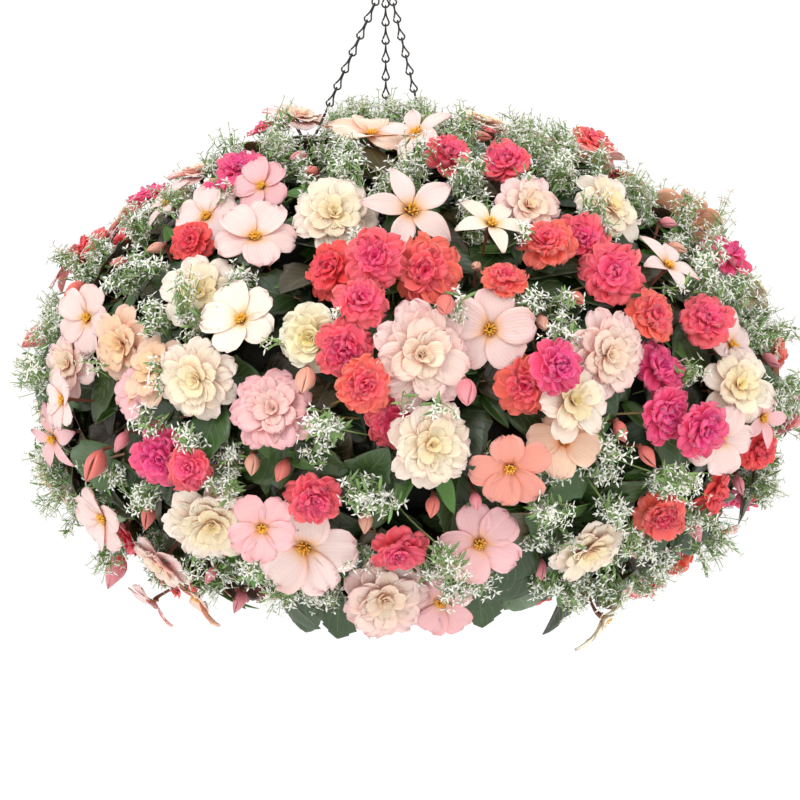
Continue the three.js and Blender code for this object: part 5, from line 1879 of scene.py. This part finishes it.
def build_materials():
    """The material of each kind's parts, and of the hardware."""
    return {
        "begonia_petals": petal_material(
            "begonia_petal", roughness=0.42, softness=0.35, vein_depth=0.0005),
        "impatiens_petals": petal_material(
            "impatiens_petal", roughness=0.42, softness=0.4, vein_depth=0.0005),
        "euphorbia_bracts": petal_material(
            "euphorbia_bract", roughness=0.5, softness=0.25, vein_depth=0.0002),
        "begonia_leaves": leaf_material(
            "begonia_leaf", vein_tint=(120, 146, 92), roughness=0.38, coat=0.14, vein_count=6.0),
        "impatiens_leaves": leaf_material(
            "impatiens_leaf", vein_tint=(150, 190, 104), roughness=0.32, coat=0.2, vein_count=8.0),
        "euphorbia_leaves": leaf_material(
            "euphorbia_leaf", vein_tint=(160, 190, 130), roughness=0.5, coat=0.0, vein_count=5.0),
        "begonia_stems": plain_material("begonia_stem", roughness=0.4, variation=0.4),
        "impatiens_stems": plain_material("impatiens_stem", roughness=0.4, variation=0.4),
        "euphorbia_stems": plain_material("euphorbia_stem", roughness=0.5),
        "begonia_core": plain_material(
            "shaded_growth", roughness=0.8, grain=0.003, grain_scale=160.0, variation=0.6),
        "wire": plain_material(
            "dark_wire", roughness=0.42, metallic=0.85, grain=0.0001, grain_scale=900.0),
        "pot": plain_material("pot_plastic", roughness=0.5, grain=0.0001, grain_scale=500.0),
        "soil": plain_material(
            "compost", roughness=0.95, grain=0.003, grain_scale=240.0, variation=0.7),
    }


# ---------------------------------------------------------------- the whole object
def set_up(thing, material, slot, *nodes):
    """Gives a piece its material, and hides the solids that it stands for; the slot argument is not
    used.
    """
    thing.data.materials.clear()
    thing.data.materials.append(material)
    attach(thing, "root")
    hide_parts(*nodes)


MAIN_SPRAY_SPREAD = 22
MAIN_SPRAY_TWIGS = 20


def build_plants(random):
    """Gathers all growth: first what the solids show, then what grows between it."""
    flowers, leaves = place_everything()
    heads = Heads([flower for flower in flowers if flower["kind"] != "euphorbia"])
    for flower in flowers:
        if flower["kind"] == "euphorbia":
            add_spray(flower["shoot"], flower["foot"], flower["centre"], flower["facing"],
                      MAIN_SPRAY_SPREAD, MAIN_SPRAY_TWIGS, heads, random)
        else:
            add_flower(flower, random)
    for leaf in leaves:
        add_leaf(leaf["shoot"], leaf, leaf["kind"], FINE_GRID, random.uniform(0.85, 1.15), random)
    for i in range(SECTORS):
        add_core(i)
        add_extra_blooms(i, heads, random)
        add_filler_leaves(i, heads, random)
        add_underside_leaves(i, random)
        add_extra_sprays(i, heads, random)
        add_stray_threads(i, heads)
        for kind in STEM_KINDS:
            add_stems(kind, i)


def finish_plants(materials):
    """Makes one piece of each batch, which stands for the solid of its shoot."""
    for name, batch in batches.items():
        kind, part, number = name.split("_")
        thing = batch.to_object(name)
        set_up(thing, materials[f"{kind}_{part}"], f"{kind}_growth", f"{kind}_shoot_{number}")


def build_hardware(materials):
    set_up(build_hook(), materials["wire"], "hanger_wire", "hanger_hook")
    for index, side_name in enumerate(("left", "back", "right")):
        for link in build_chain(index, side_name):
            set_up(link, materials["wire"], "hanger_wire", f"chain_{side_name}")
        set_up(build_leg(index, side_name), materials["wire"], "hanger_wire", f"wire_leg_{side_name}")
    set_up(build_pot(), materials["pot"], "pot_plastic", "pot")
    set_up(build_soil(), materials["soil"], "compost", "soil")


# ---------------------------------------------------------------- floor, lights and camera
FLOOR_Z = -1.6
FLOOR_RADIUS = 14.0
FLOOR_SIDES = 48
# Each light's place and width in metres, and its power in watts.
LIGHTS = {
    "key": ((-1.4, -2.4, 1.6), 1.4, 46),
    "fill": ((2.2, -1.8, 0.2), 1.8, 12),
    "back": ((0.4, 2.6, 1.2), 1.8, 24),
}
WORLD_STRENGTH = 1.06
CAMERA_REACH = 100
SEED = 7


def build_floor():
    turns = [TURN * k / FLOOR_SIDES for k in range(FLOOR_SIDES)]
    corners = [(FLOOR_RADIUS * math.cos(a), FLOOR_RADIUS * math.sin(a), FLOOR_Z) for a in turns]
    mesh = bpy.data.meshes.new("floor")
    mesh.from_pydata(corners, [], [list(range(FLOOR_SIDES))])
    mesh.materials.append(floor_material())
    put_in_scene("floor", mesh)


def build_light(name, place, size, power):
    light = bpy.data.lights.new(name, "AREA")
    light.size = size
    light.energy = power
    thing = put_in_scene(name, light)
    thing.location = place
    aim = Vector(PLANT_CENTRE * METRE) - Vector(place)
    thing.rotation_euler = aim.to_track_quat("-Z", "Y").to_euler()


def build_world(strength):
    world = bpy.data.worlds.new("studio")
    world.use_nodes = True
    background = world.node_tree.nodes["Background"]
    background.inputs["Color"].default_value = (1, 1, 1, 1)
    background.inputs["Strength"].default_value = strength
    bpy.context.scene.world = world


def build_camera():
    """The photo's camera: level, far off, and square to the front."""
    camera = bpy.data.cameras.new("photo_camera")
    width = FRAME_PIXELS * MM_PER_PIXEL
    camera.sensor_width = SENSOR_MM
    camera.lens = SENSOR_MM * VIEW_DISTANCE / width
    camera.clip_end = CAMERA_REACH
    thing = put_in_scene("photo_camera", camera)
    thing.location = (VIEW_AIM_X * METRE, -VIEW_DISTANCE * METRE, VIEW_AIM_Z * METRE)
    thing.rotation_euler = (math.pi / 2, 0, 0)
    bpy.context.scene.camera = thing


materials = build_materials()
build_plants(Random(SEED))
finish_plants(materials)
build_hardware(materials)
build_floor()
for name, light in LIGHTS.items():
    build_light(name, *light)
build_world(WORLD_STRENGTH)
bpy.context.scene.view_settings.view_transform = "Standard"
build_camera()
